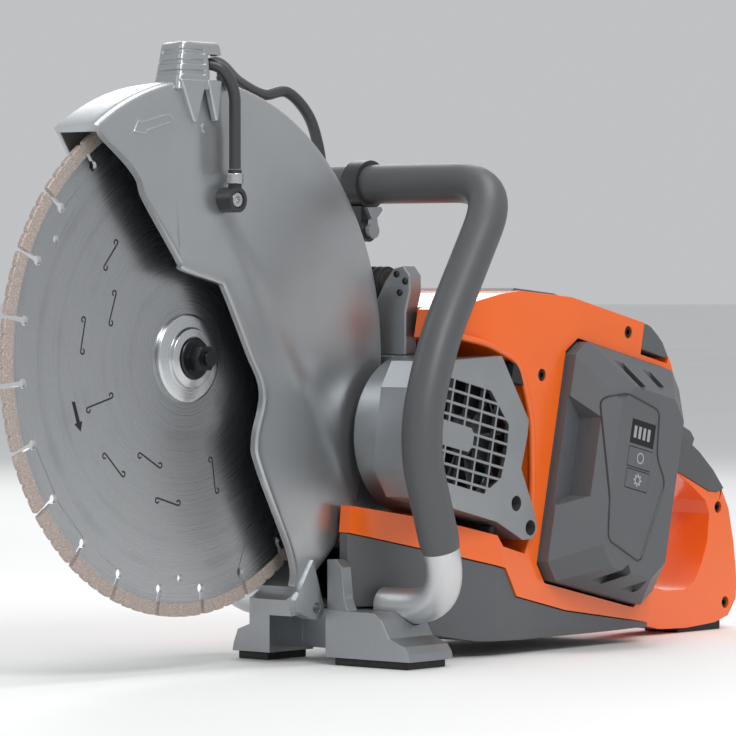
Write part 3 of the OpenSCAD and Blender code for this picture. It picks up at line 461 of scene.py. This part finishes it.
# %% [markdown]
# ## Tubes, hoses and beads
# A bent tube, an extruded hose and the raised bead on a moulding are all one thing: a circle
# carried along a path. At each station the circle's two directions are turned just enough to
# stay square to the path, so that the surface doesn't twist.

# %% Swept circles
def rounded_path(corners, cuts, steps=12):
    """Straight runs joined by parabolas that begin a cut's length before and after each corner."""
    corners, t = np.asarray(corners, float), np.linspace(0, 1, steps)[:, None]
    parts = [corners[:1]]
    for before, corner, after, cut in zip(corners, corners[1:], corners[2:], cuts):
        a = corner + cut * (before - corner) / np.linalg.norm(before - corner)
        b = corner + cut * (after - corner) / np.linalg.norm(after - corner)
        parts.append((1 - t) ** 2 * a + 2 * t * (1 - t) * corner + t ** 2 * b)
    return np.concatenate(parts + [corners[-1:]])


def smooth_path(points, steps=12, closed=False):
    """Catmull-Rom curve: between two points, the cubic whose slopes are half the neighbours' gap."""
    points = np.asarray(points, float)
    ends = (points[-1:], points[:2]) if closed else (points[:1], points[-1:])
    p = np.concatenate([ends[0], points, ends[1]])
    a, b, c, d = (p[k:len(p) - 3 + k, None] for k in range(4))
    t = np.linspace(0, 1, steps, endpoint=False)[None, :, None]
    curve = 0.5 * (2 * b + (c - a) * t + (2 * a - 5 * b + 4 * c - d) * t ** 2
                   + (3 * b - a - 3 * c + d) * t ** 3)
    curve = curve.reshape(-1, points.shape[1])
    return curve if closed else np.concatenate([curve, points[-1:]])


def evenly(path, step):
    """The same path with points a step apart, in mm."""
    along = np.concatenate([[0], np.cumsum(np.linalg.norm(np.diff(path, axis=0), axis=1))])
    at = np.linspace(0, along[-1], max(int(along[-1] / step), 3))
    return np.stack([np.interp(at, along, path[:, k]) for k in range(path.shape[1])], 1)


def swept(path, radius, sides=24, squeeze=(1, 1, 1), closed=False):
    """Rings of centre + radius (cos a times n + sin a times b) along a path; squeeze flattens them."""
    around = np.roll(path, -1, 0) - np.roll(path, 1, 0) if closed else np.gradient(path, axis=0)
    tangent = around / np.linalg.norm(around, axis=1)[:, None]
    side = np.cross(tangent[0], [0, 0, 1] if abs(tangent[0][2]) < 0.9 else [1, 0, 0])
    normals = [side / np.linalg.norm(side)]
    for t in tangent[1:]:
        carried = normals[-1] - (normals[-1] @ t) * t
        normals.append(carried / np.linalg.norm(carried))
    normals = np.array(normals)
    a = np.linspace(0, 2 * np.pi, sides, endpoint=False)[None, :, None]
    circle = np.cos(a) * normals[:, None] + np.sin(a) * np.cross(tangent, normals)[:, None]
    radius = np.broadcast_to(np.asarray(radius, float), (len(path),))[:, None, None]
    points = path[:, None] + radius * circle * np.array(squeeze)
    return skin(level(points[..., 0], points[..., 1], points[..., 2]), close_rows=closed)


# %% [markdown]
# ## Front handle
# A 25 mm aluminium tube is bent cold round a former, so its bends are smooth. A 1.5 mm
# elastomer sleeve is pushed over the part that the hand holds, and its ends are turned in.

# %% Handle tube and sleeve
HANDLE = [[150, -50.5, -173], [150, -113, -173], [112, -112, -58], [130, -112, 5], [212, -104, 121],
          [212, 84, 121], [130, 92, 5], [112, 92, -58], [150, 93, -173], [150, 50.5, -173]]
TUBE_R, SLEEVE_R, TURNED_IN = 12.5, 14.0, 1.2
tube_path = evenly(rounded_path(HANDLE, [42, 30, 34, 40, 40, 34, 30, 28]), 5)
piece("front_tube", [swept(tube_path, TUBE_R, 36)], "chassis", "tube_alu", ["handle_tube"])
SLEEVE = [[136.4, -112.6, -132]] + HANDLE[2:8] + [[136.4, 92.6, -132]]
sleeve_path = evenly(rounded_path(SLEEVE, [30, 34, 40, 40, 34, 30]), 5)
order = np.arange(len(sleeve_path))
from_end = np.minimum(order, order[::-1])
sleeve_radius = SLEEVE_R - TURNED_IN * (1 - smooth_step(from_end / 1.5))
piece("grip_sleeve", [swept(sleeve_path, sleeve_radius, 36)], "chassis", "grip", ["handle_sleeve"])

# %% [markdown]
# ## Water hoses
# The two hoses on the guard are 8 mm rubber, cut to reach from the tee over the rim's edge to
# the nozzles: 85 mm on the left and 92 mm on the right. The supply hose is 254 mm long from the
# tee to the tap, and it rides on no body, so it stays where it is laid. The cell measures all three.

# %% Hoses
HOSE_R, HOSE_Y = 4, 27
left = smooth_path([[7, -10.3, 199], [7, -12, 199], [7, -13.7, 199], [13, -20, 196.5],
                    [18.5, 3 - HOSE_Y, 189], [21, 0.5 - HOSE_Y, 178], [21, -HOSE_Y, 165],
                    [21, -HOSE_Y, 128]])
right = smooth_path([[7, 0.3, 199], [7, 2, 199], [7, 3.7, 199], [11, 13, 198.5], [18, HOSE_Y - 4, 191],
                     [21, HOSE_Y - 0.5, 179], [21, HOSE_Y, 165], [21, HOSE_Y, 128]])
nozzle_runs = [swept(evenly(run, 2), HOSE_R) for run in (left, right)]
piece("nozzle_hoses", nozzle_runs, "guard", "hose_rubber", ["guard_hoses"])
SUPPLY = [[13.5, -5, 199], [18, -5, 199.5], [28, -2, 201.5], [46, 6, 199], [78, 21, 190], [112, 29, 182.5],
          [138, 30, 185], [158, 28, 170], [167, 26, 148], [170, 24, 122], [172, 22.5, 103], [177, 22, 91.5],
          [184, 22, 88], [188.6, 22, 88]]
supply = evenly(smooth_path(SUPPLY), 2.5)
hose = piece("tap_hose", [swept(supply, HOSE_R)], None, "hose_rubber", ["supply_hose"])
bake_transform(hose)
for name, run in (("left", left), ("right", right), ("supply", supply)):
    print(name, "hose", round(float(np.linalg.norm(np.diff(run, axis=0), axis=1).sum())), "mm")

# %% [markdown]
# ## The guard casting
# The guard is a pressure die casting in magnesium: a flat cheek with a raised panel round the
# hub, a step down to the outer panel, a rounded lip along the opening and a broad rim. It is
# made here as one closed profile that is carried round the rim. Each station joins a point of
# the opening's edge to an angle on the rim, which is how a pattern maker would lay out the
# cheek with a fan of straight lines.

# %% Guard casting
EDGE = np.array([[-101.5, 147.5], [-70.6, 122], [-62, 106], [-30, 66.3], [-26, 59.7], [8.6, 50.9],
                 [15.6, 46.2], [39.8, 3.9], [54, -23.6], [45.8, -56.2], [50.9, -76.8], [84.9, -140],
                 [86.5, -158]])
RIM_ANGLE = np.array([124.5, 119, 116, 103, 98, 62, 54, 20, 0, -18, -28, -54, -60.5])
CREASE = np.array([[-18, 190], [-16, 158], [-14, 120], [29, 63], [95, -30], [125, -72], [150, -107],
                   [170, -130]])
PANEL_Y, STEP_DOWN, STEP_WIDTH = -22.5, 3.7, 22.0
SLOPE_START, SLOPE_WIDTH, SLOPE_DOWN = 148, 34, 2.2
CHEEK_R, INSIDE_R, FILLET_START, FILLET_R = 182.5, 182.6, 184.0, 4.5
LIP_HEIGHT, LIP_WIDTH, CHEEK_WALL = 2.2, 3.5, 3.6
RIM_LEAN, RIM_Y, INSIDE_Y = 2.5, 20, (19.2, -15.5)


def beside(x, z, line):
    """Distance to a polyline, positive to its left as it is walked, from the nearest segment."""
    p, a, b = np.stack([x, z], -1)[..., None, :], line[:-1], line[1:]
    t = np.clip(((p - a) * (b - a)).sum(-1) / ((b - a) ** 2).sum(-1), 0, 1)
    off = p - (a + t[..., None] * (b - a))
    cross = (b - a)[:, 0] * off[..., 1] - (b - a)[:, 1] * off[..., 0]
    size = np.linalg.norm(off, axis=-1)
    nearest = size.argmin(-1)[..., None]
    return (np.take_along_axis(size, nearest, -1) * np.sign(np.take_along_axis(cross, nearest, -1)))[..., 0]


def cheek_y(x, z):
    """Height of the cheek: the panel, a step down past the crease, and a slope in towards the rim."""
    step = STEP_DOWN * smooth_step(beside(x, z, CREASE) / STEP_WIDTH)
    return PANEL_Y + step + SLOPE_DOWN * smooth_step((np.hypot(x, z) - SLOPE_START) / SLOPE_WIDTH)


stations = evenly(smooth_path(np.column_stack([EDGE, RIM_ANGLE]), 8), 2.6)
start, angle = stations[:, None, :2], np.radians(stations[:, 2])[:, None]
spoke = np.stack([np.cos(angle), np.sin(angle)], -1)
v = smooth_step(np.linspace(0, 1, 40)) * 0.4 + np.linspace(0, 1, 40) * 0.6

# The cheek's outer face, from the opening's edge with its lip to the rim.
outer = start + v[None, :, None] * (CHEEK_R * spoke - start)
x, z = outer[..., 0], outer[..., 1]
from_edge = v * np.linalg.norm(CHEEK_R * spoke - start, axis=-1)
lip = LIP_HEIGHT * np.exp(-(from_edge / LIP_WIDTH) ** 2)
outer_y = cheek_y(x, z) - lip + 1.6 * (from_edge < 0.05)

# The rounded corner between cheek and rim, and the rim itself.
turn = np.linspace(0, np.pi / 2, 7)[None, 1:]
corner_r = FILLET_START + FILLET_R * np.sin(turn)
fillet_y = outer_y[:, -1:] + FILLET_R - FILLET_R * np.cos(turn)
over_rim = np.linspace(0, 1, 9)[None, 1:]
rim_y = fillet_y[:, -1:] + over_rim * (RIM_Y - fillet_y[:, -1:])
rim_r = FILLET_START + FILLET_R - RIM_LEAN * over_rim + 0 * rim_y

# The way back under the rim and along the cheek's inner face.
inside_y = np.linspace(*INSIDE_Y, 6)[None]
inside_r = INSIDE_R + 0 * inside_y
inner = outer[:, list(range(39, 0, -4)) + [0]]
inner_y = cheek_y(inner[..., 0], inner[..., 1]) + CHEEK_WALL

round_x = [r * np.cos(angle) for r in (corner_r, rim_r, inside_r)]
round_z = [r * np.sin(angle) for r in (corner_r, rim_r, inside_r)]
loop_x = np.concatenate([x, *round_x, inner[..., 0]], 1)
loop_y = np.concatenate([outer_y, fillet_y, rim_y, np.broadcast_to(inside_y, (len(x), 6)), inner_y], 1)
loop_z = np.concatenate([z, *round_z, inner[..., 1]], 1)
piece("guard_casting", [skin(level(loop_x, loop_y, loop_z))], "guard", "guard_paint",
      ["guard_rim", "guard_left_wall"], angle=50)

# %% [markdown]
# ## Arrow and boss on the guard
# The pattern carries a raised arrow outline that shows which way the blade turns, and a round
# pad for the ejector. Both follow the cheek's height.

# %% Marks cast in the guard
ARROW = np.array([[-71.7, 151.6], [-67.3, 158.9], [-64.2, 157.6], [-39.5, 163.5], [-35.8, 162.1],
                  [-35.9, 158.6], [-59.7, 152.4], [-60.2, 150.2]])
PAD_AT = (-1.3, 155.3)
outline = np.concatenate([a + np.linspace(0, 1, 8, endpoint=False)[:, None] * (b - a)
                          for a, b in zip(ARROW, np.roll(ARROW, -1, 0))])
raised = np.column_stack([outline[:, 0], cheek_y(outline[:, 0], outline[:, 1]), outline[:, 1]])
pad_a = np.linspace(0, 2 * np.pi, 32, endpoint=False)
pad = np.array([[4.2, 0.5], [4.0, -0.5], [3.4, -0.9], [0.4, -0.9]])
pad_x = PAD_AT[0] + pad[:, :1] * np.cos(pad_a)
pad_z = PAD_AT[1] + pad[:, :1] * np.sin(pad_a)
pad_y = cheek_y(pad_x, pad_z) + pad[:, 1:]
marks = [swept(raised, 0.75, 8, closed=True), skin(level(pad_x, pad_y, pad_z))]
piece("guard_marks", marks, "guard", "guard_paint")

# %% [markdown]
# ## The hood over the hose tee
# A separate small casting keeps knocks off the tee. Its outline tapers from foot to top with
# rounded corners, three shallow slots are moulded round the front, and both sides and the rear
# are open where the hoses leave. One ring of points is repeated up the wall, the faces inside
# the three openings are left out, and a Solidify modifier gives the wall its 2.4 mm. Two ribs on
# the left side run down the guard's cheek.

# %% Hood
def rounded_outline(corners, radius, steps=8):
    """A closed outline whose corners are parabolas that start a radius before each corner."""
    corners, t = np.asarray(corners, float), np.linspace(0, 1, steps)[:, None]
    before, after = np.roll(corners, 1, 0), np.roll(corners, -1, 0)
    a = corners + radius * (before - corners) / np.linalg.norm(before - corners, axis=1)[:, None]
    b = corners + radius * (after - corners) / np.linalg.norm(after - corners, axis=1)[:, None]
    curves = (1 - t) ** 2 * a[:, None] + 2 * t * (1 - t) * corners[:, None] + t ** 2 * b[:, None]
    return curves.reshape(-1, 2)


def closed_evenly(outline, count):
    """A closed outline with that many points an equal way apart."""
    ring = np.concatenate([outline, outline[:1]])
    along = np.concatenate([[0], np.cumsum(np.linalg.norm(np.diff(ring, axis=0), axis=1))])
    at = np.linspace(0, along[-1], count, endpoint=False)
    return np.stack([np.interp(at, along, ring[:, k]) for k in (0, 1)], 1)


FOOT = [[-33, -24], [22, -24], [22, 14], [-18, 14]]
TOP = [[-26, -21.5], [14, -21.5], [14, 11.5], [-12, 11.5]]
FOOT_Z, BEND_Z, TOP_R, ROUND = 181, 210, 3, 160
SLOT_Z, SLOT_HALF, SLOT_DEPTH = (206.2, 199.3, 192.2), 1.9, 1.1

foot, top = (closed_evenly(rounded_outline(c, 6), ROUND) for c in (FOOT, TOP))
quarter = np.linspace(0, np.pi / 2, 7)[1:]
rise = np.concatenate([np.linspace(FOOT_Z, BEND_Z, 74), BEND_Z + TOP_R * np.sin(quarter)])
over_bend = np.clip(1 - ((rise - BEND_Z) / TOP_R) ** 2, 0, 1)
shrink = np.where(rise > BEND_Z, TOP_R * (1 - np.sqrt(over_bend)), 0)
rings = foot + ((rise - FOOT_Z) / (BEND_Z + TOP_R - FOOT_Z))[:, None, None] * (top - foot)
away = rings - rings.mean(1, keepdims=True)
away /= np.linalg.norm(away, axis=2, keepdims=True)
front = (rings[..., 0] < -4) & ((rings[..., 1] < 0) | (rings[..., 0] < -16))
slots = sum(smooth_step((SLOT_HALF - np.abs(rise - at)) / 0.8) for at in SLOT_Z)[:, None] * front
rings = rings - away * (shrink[:, None] + SLOT_DEPTH * slots)[..., None]

# The faces whose middle lies in one of the three openings are left out.
mid = (rings[:-1] + rings[1:]) / 2
mid_x, mid_y, mid_z = mid[..., 0], mid[..., 1], ((rise[:-1] + rise[1:]) / 2)[:, None]
gap_left = (mid_y < -12) & (mid_x > -1) & (mid_x < 19) & (mid_z < 205)
gap_right = (mid_y > 6) & (mid_x > 2) & (mid_z < 205)
gap_rear = (mid_x > 11) & (mid_y > -12) & (mid_y < 8) & (mid_z < 207)
shell = skin(level(rings[..., 0], rings[..., 1], rise[:, None]), caps=False,
             keep=~(gap_left | gap_right | gap_rear))
shell[1].append(list(range((len(rise) - 1) * ROUND, len(rise) * ROUND)))
hood = piece("hood_casting", [shell], "guard", "guard_paint", ["guard_hood"], angle=40)
wall = hood.modifiers.new("wall", "SOLIDIFY")
wall.thickness, wall.offset = 0.0024, -1.0


def prism(outline, y0, y1):
    """An outline in x and z, pushed from y0 to y1."""
    outline = np.asarray(outline, float)
    return skin(level(outline[None, :, 0], np.array([[y0], [y1]]), outline[None, :, 1]))


def soften(made, width, segments=3):
    """Rounds the edges of a piece by width mm."""
    bevel = made.modifiers.new("rounding", "BEVEL")
    bevel.width, bevel.segments = width / 1000, segments
    bevel.angle_limit = math.radians(40)
    made.modifiers.new("flat_faces", "WEIGHTED_NORMAL")
    return made


fins = [prism([[-30, 187.5], [-4, 187.5], [-13.5, 158.5], [-17, 158.5]], -25, -19),
        prism([[-3, 187.5], [12, 187.5], [8.5, 160], [5.5, 160]], -24.4, -19)]
soften(piece("hood_fins", fins, "guard", "guard_paint"), 1.5)

# %% [markdown]
# ## The blade's segments and marks
# Each segment is pressed from metal powder and diamond grit in a mould, then brazed to the
# core, so it is a block of arc with soft corners and three shallow notches. The core carries
# laser-cut slits with curled ends that stop it ringing, and a printed arrow.

# %% Segments, slits and arrow
SEGMENTS, CORE_R = 24, 165.5
PROFILE = np.array([[0, -1.9], [0.3, -2.2], [8.9, -2.2], [9.5, -1.7], [9.5, 1.7], [8.9, 2.2], [0.3, 2.2],
                    [0, 1.9]])
PITCH, FIRST_SLOT = 360 / SEGMENTS, 5.2
half_slot = math.degrees(1.6 / 170)
share = np.linspace(0, 1, 46)
blocks = []
for first in FIRST_SLOT + PITCH * np.arange(SEGMENTS):
    at = np.linspace(first + half_slot, first + PITCH - half_slot, 46)
    notch = sum(np.exp(-((share - n) / 0.025) ** 2) for n in (0.25, 0.5, 0.75))
    soft_end = 0.5 * (smooth_step(1 - share / 0.03) + smooth_step(1 - (1 - share) / 0.03))
    radius = CORE_R + PROFILE[None, :, 0] * (1 - (0.13 * notch + 0.06 * soft_end)[:, None])
    turn = np.radians(at)[:, None]
    side_y = PROFILE[None, :, 1] * (1 - 0.1 * (notch + soft_end)[:, None])
    blocks.append(skin(level(radius * np.cos(turn), side_y, radius * np.sin(turn))))
piece("cutting_segments", blocks, "blade_set", "diamond_segment", ["blade_segments"])

SLITS = np.array([[-67.3, 76.9, -79.8, 62.3], [-68.6, 43.7, -75.1, 24.9], [-97.9, 26.6, -102.3, 6.2],
                  [-72.9, -25.4, -95.5, -31.3], [-78.7, -62.5, -63.1, -77.6], [-45, -63, -26.7, -73.2],
                  [25.7, -69.2, 29, -91], [-28.4, -93.6, -8.4, -99.3]])
curl = np.linspace(0, 1.5 * np.pi, 12)
cuts = []
for x0, z0, x1, z1 in SLITS:
    way = np.array([x1 - x0, z1 - z0]) / np.hypot(x1 - x0, z1 - z0)
    left_of = np.array([-way[1], way[0]])
    hook = 1.7 * (np.outer(np.sin(curl), way) + np.outer(1 - np.cos(curl), left_of))
    line = np.concatenate([(np.array([x0, z0]) - hook)[::-1], np.array([x1, z1]) + hook])
    for face in (-1.5, 1.5):
        slit = np.column_stack([line[:, 0], np.full(len(line), face), line[:, 1]])
        cuts.append(swept(slit, 0.6, 8, (1, 0.12, 1)))
MARK = [[-110.9, -27], [-107.8, -27.1], [-103.1, -40.4], [-100.9, -40], [-102.4, -47], [-108.4, -42],
        [-106.2, -41.2]]
cuts.append(prism(MARK, -1.56, -1.4))
piece("blade_marks", cuts, "blade_set", "black_steel")

# %% [markdown]
# ## Screws
# The covers and handles are closed with six-lobe screws. The socket's radius is its mean times
# 1 + 0.18 cos 6a, which is the shape that the driver's standard draws, and it is pressed 2 mm
# deep, so its floor stays dark.

# %% Six-lobe screws
def screw(x, y, z, radius, length, facing=-1):
    """Rings of a head along Y, its face at y: r = 0.47 radius (1 + 0.18 cos 6a) in the socket."""
    a = np.linspace(0, 2 * np.pi, 72, endpoint=False)
    lobes = 0.47 * radius * (1 + 0.18 * np.cos(6 * a))
    rings = [(np.full(72, radius), length), (np.full(72, radius), 0.6), (np.full(72, radius - 0.6), 0),
             (lobes + 0.15, 0), (lobes, 0.2), (lobes, 2.0), (0.1 * lobes, 2.3)]
    r = np.array([ring for ring, depth in rings])
    depth = np.array([depth for ring, depth in rings])[:, None]
    return x + r * np.cos(a), y - facing * depth + 0 * r, z + r * np.sin(a)


HANDLE_SCREWS = ((560, 0.7), (471, -87.5), (585, -68.7))
EAR_SCREWS = ((-32, 52), (-27, 44), (-24, 57))
side_heads = [skin(leaning(*screw(u, -77.5, w, 4.2, 4))) for u, w in COVER_SCREWS]
side_heads += [skin(leaning(*screw(u, -45.5, w, 4.2, 3))) for u, w in HANDLE_SCREWS]
piece("cover_screws", side_heads, "chassis", "black_steel", ["case_screws"])
banjo_heads = [skin(level(*screw(17, facing * 33.2, 107, 5.3, 3.6, facing))) for facing in (-1, 1)]
piece("banjo_screws", banjo_heads, "guard", "steel", ["nozzle_screws"])
sideways, forward, upward = screw(0, 0, 0, 2.4, 2)
ear_bolts = [skin(level(192.6 + forward, y + sideways, z + upward)) for y, z in EAR_SCREWS]
piece("bracket_screws", ear_bolts, "chassis", "black_steel")

# %% [markdown]
# ## Fender lip, keypad and battery lines
# The cover's inner edge is rolled into a lip that stiffens it round the guard. The battery's
# lid is joined along a shallow dark line, and its keys carry plain pictograms: four bars for
# the charge, a ring and a gear. They are printed, so they stand only a tenth of a millimetre
# proud.

# %% Lip, lid line and pictograms
def leaned(points):
    """Points in u, y and w turned into x, y and z, all in mm."""
    u, y, w = np.asarray(points, float).T
    return np.column_stack([u * math.cos(LEAN) + w * math.sin(LEAN), y,
                            w * math.cos(LEAN) - u * math.sin(LEAN)])


LIP_Y = -75.6
NOTCH = [[192, LIP_Y, 56.5], [225, LIP_Y, 58], [262, LIP_Y, 53], [272, LIP_Y, 38], [285.5, LIP_Y, 15.5],
         [296, LIP_Y, -27], [301, LIP_Y, -60]]
lip_path = evenly(rounded_path(NOTCH, [12, 10, 8, 12, 12]), 3)
piece("fender_lip", [swept(leaned(lip_path), 2.6, 16)], "chassis", "orange_shell")


def lid_y(u, w):
    """Height of the battery's lid: flat in the middle, sloping down within 16 to 27 mm of its edges."""
    slopes = [(u - 313) / 25, (440 - u) / 26, (w + 94.5) / 16, (80.5 - w) / 27]
    return -86 - 28 * np.clip(np.min(slopes, 0), 0, 1)


LID = [[327, 40], [341, 47], [383, 42], [387, 9], [401, -8], [384, -70], [343, -60]]
lid_u, lid_w = closed_evenly(rounded_outline(LID, 6), 140).T
lid_edge = leaned(np.column_stack([lid_u, lid_y(lid_u, lid_w), lid_w]))
piece("lid_line", [swept(lid_edge, 0.7, 8, closed=True)], "battery", "dark_plastic")


INK, SCREEN_Y, KEY_Y = 0.12, -113.6, -114.65


def pictogram(outline, u, w, y):
    """A flat printed shape, centred at u and w, from y outwards by the thickness of the ink."""
    shape = np.asarray(outline, float)
    return skin(leaning(u + shape[None, :, 0], np.array([[y], [y - INK]]), w + shape[None, :, 1]))


def washer_shape(u, w, y, outer, inner):
    """A flat printed ring whose outer and inner radius may vary round it."""
    a = np.linspace(0, 2 * np.pi, 96, endpoint=False)
    r = np.array([inner + 0 * a, outer + 0 * a, outer + 0 * a, inner + 0 * a])
    depth = np.array([[y], [y], [y - INK], [y - INK]])
    return skin(leaning(u + r * np.cos(a), depth + 0 * r, w + r * np.sin(a)), close_rows=True)


BAR = [[-1.6, -4.4], [1.6, -4.4], [1.6, 4.4], [-1.6, 4.4]]
bars = [pictogram(BAR, 358.5 + 5.4 * k, 21.7, SCREEN_Y) for k in range(4)]
piece("charge_bars", bars, "battery", "guard_paint")
gear = 4.1 + 0.7 * np.tanh(4 * np.cos(8 * np.linspace(0, 2 * np.pi, 96, endpoint=False)))
piece("power_ring", [washer_shape(367, 3.6, KEY_Y, 4.2, 3.0)], "power_key", "guard_paint")
piece("mode_gear", [washer_shape(367, -12.4, KEY_Y, gear, 2.2)], "mode_key", "guard_paint")

# %% [markdown]
# ## Floor, light and camera
# The saw stands on a pale floor under large soft lamps: a key above and in front on the left, a
# weaker fill on the right, a strip above for the long highlights on the orange covers, and a
# lamp behind that parts the saw from the floor. The camera looks from the front left, a few
# metres away and low, with a long lens, so that near and far parts keep almost the same scale.

# %% Scene
FLOOR_R, FLOOR_POINTS = 40, 96
floor_mesh = bpy.data.meshes.new("floor")
floor_a = np.linspace(0, 2 * np.pi, FLOOR_POINTS, endpoint=False)
floor_points = np.column_stack([FLOOR_R * np.cos(floor_a), FLOOR_R * np.sin(floor_a), 0 * floor_a])
floor_mesh.from_pydata(floor_points.tolist(), [], [list(range(FLOOR_POINTS))])
floor = bpy.data.objects.new("floor", floor_mesh)
bpy.context.scene.collection.objects.link(floor)
material, tree, principled = new_finish("pale_floor", Roughness=0.7)
place = add(tree, "TexCoord")
cloud = add(tree, "TexNoise", {"Vector": (place, "Object"), "Scale": 1.5, "Detail": 4.0})
shades = add(tree, "ValToRGB", {"Fac": (cloud, "Fac")})
shades.color_ramp.elements[0].color = linear("#E9E9E8")
shades.color_ramp.elements[1].color = linear("#F2F2F1")
tree.links.new(shades.outputs["Color"], principled.inputs["Base Color"])
floor_mesh.materials.append(material)

bpy.context.scene.view_settings.view_transform = "Standard"
world = bpy.data.worlds.new("studio")
world.use_nodes = True
sky = world.node_tree.nodes["Background"]
sky.inputs["Color"].default_value = linear("#EDEFF2")
sky.inputs["Strength"].default_value = 0.62
bpy.context.scene.world = world


def lamp(name, at, size, watts, aim=(0, 0, 0.2)):
    """A square soft light that looks at a point on the saw."""
    light = bpy.data.lights.new(name, "AREA")
    light.size, light.energy = size, watts
    made = bpy.data.objects.new(name, light)
    made.location = at
    made.rotation_euler = (Vector(aim) - Vector(at)).to_track_quat("-Z", "Y").to_euler()
    bpy.context.scene.collection.objects.link(made)


lamp("key", (-1.3, -2.4, 2.4), 1.1, 50)
lamp("fill", (-2.6, 1.2, 1.0), 1.8, 7)
lamp("overhead", (0.3, -0.2, 2.3), 1.2, 20)
lamp("behind", (1.8, 2.0, 1.6), 1.4, 18)

camera_data = bpy.data.cameras.new("camera")
camera_data.lens, camera_data.sensor_width = 220.4, 36.0
camera = bpy.data.objects.new("camera", camera_data)
sight = Vector((0.759878, 0.649747, -0.020362))
camera.location = (-2.435, -2.06615, 0.26949)
camera.rotation_euler = sight.to_track_quat("-Z", "Y").to_euler()
bpy.context.scene.collection.objects.link(camera)
bpy.context.scene.camera = camera
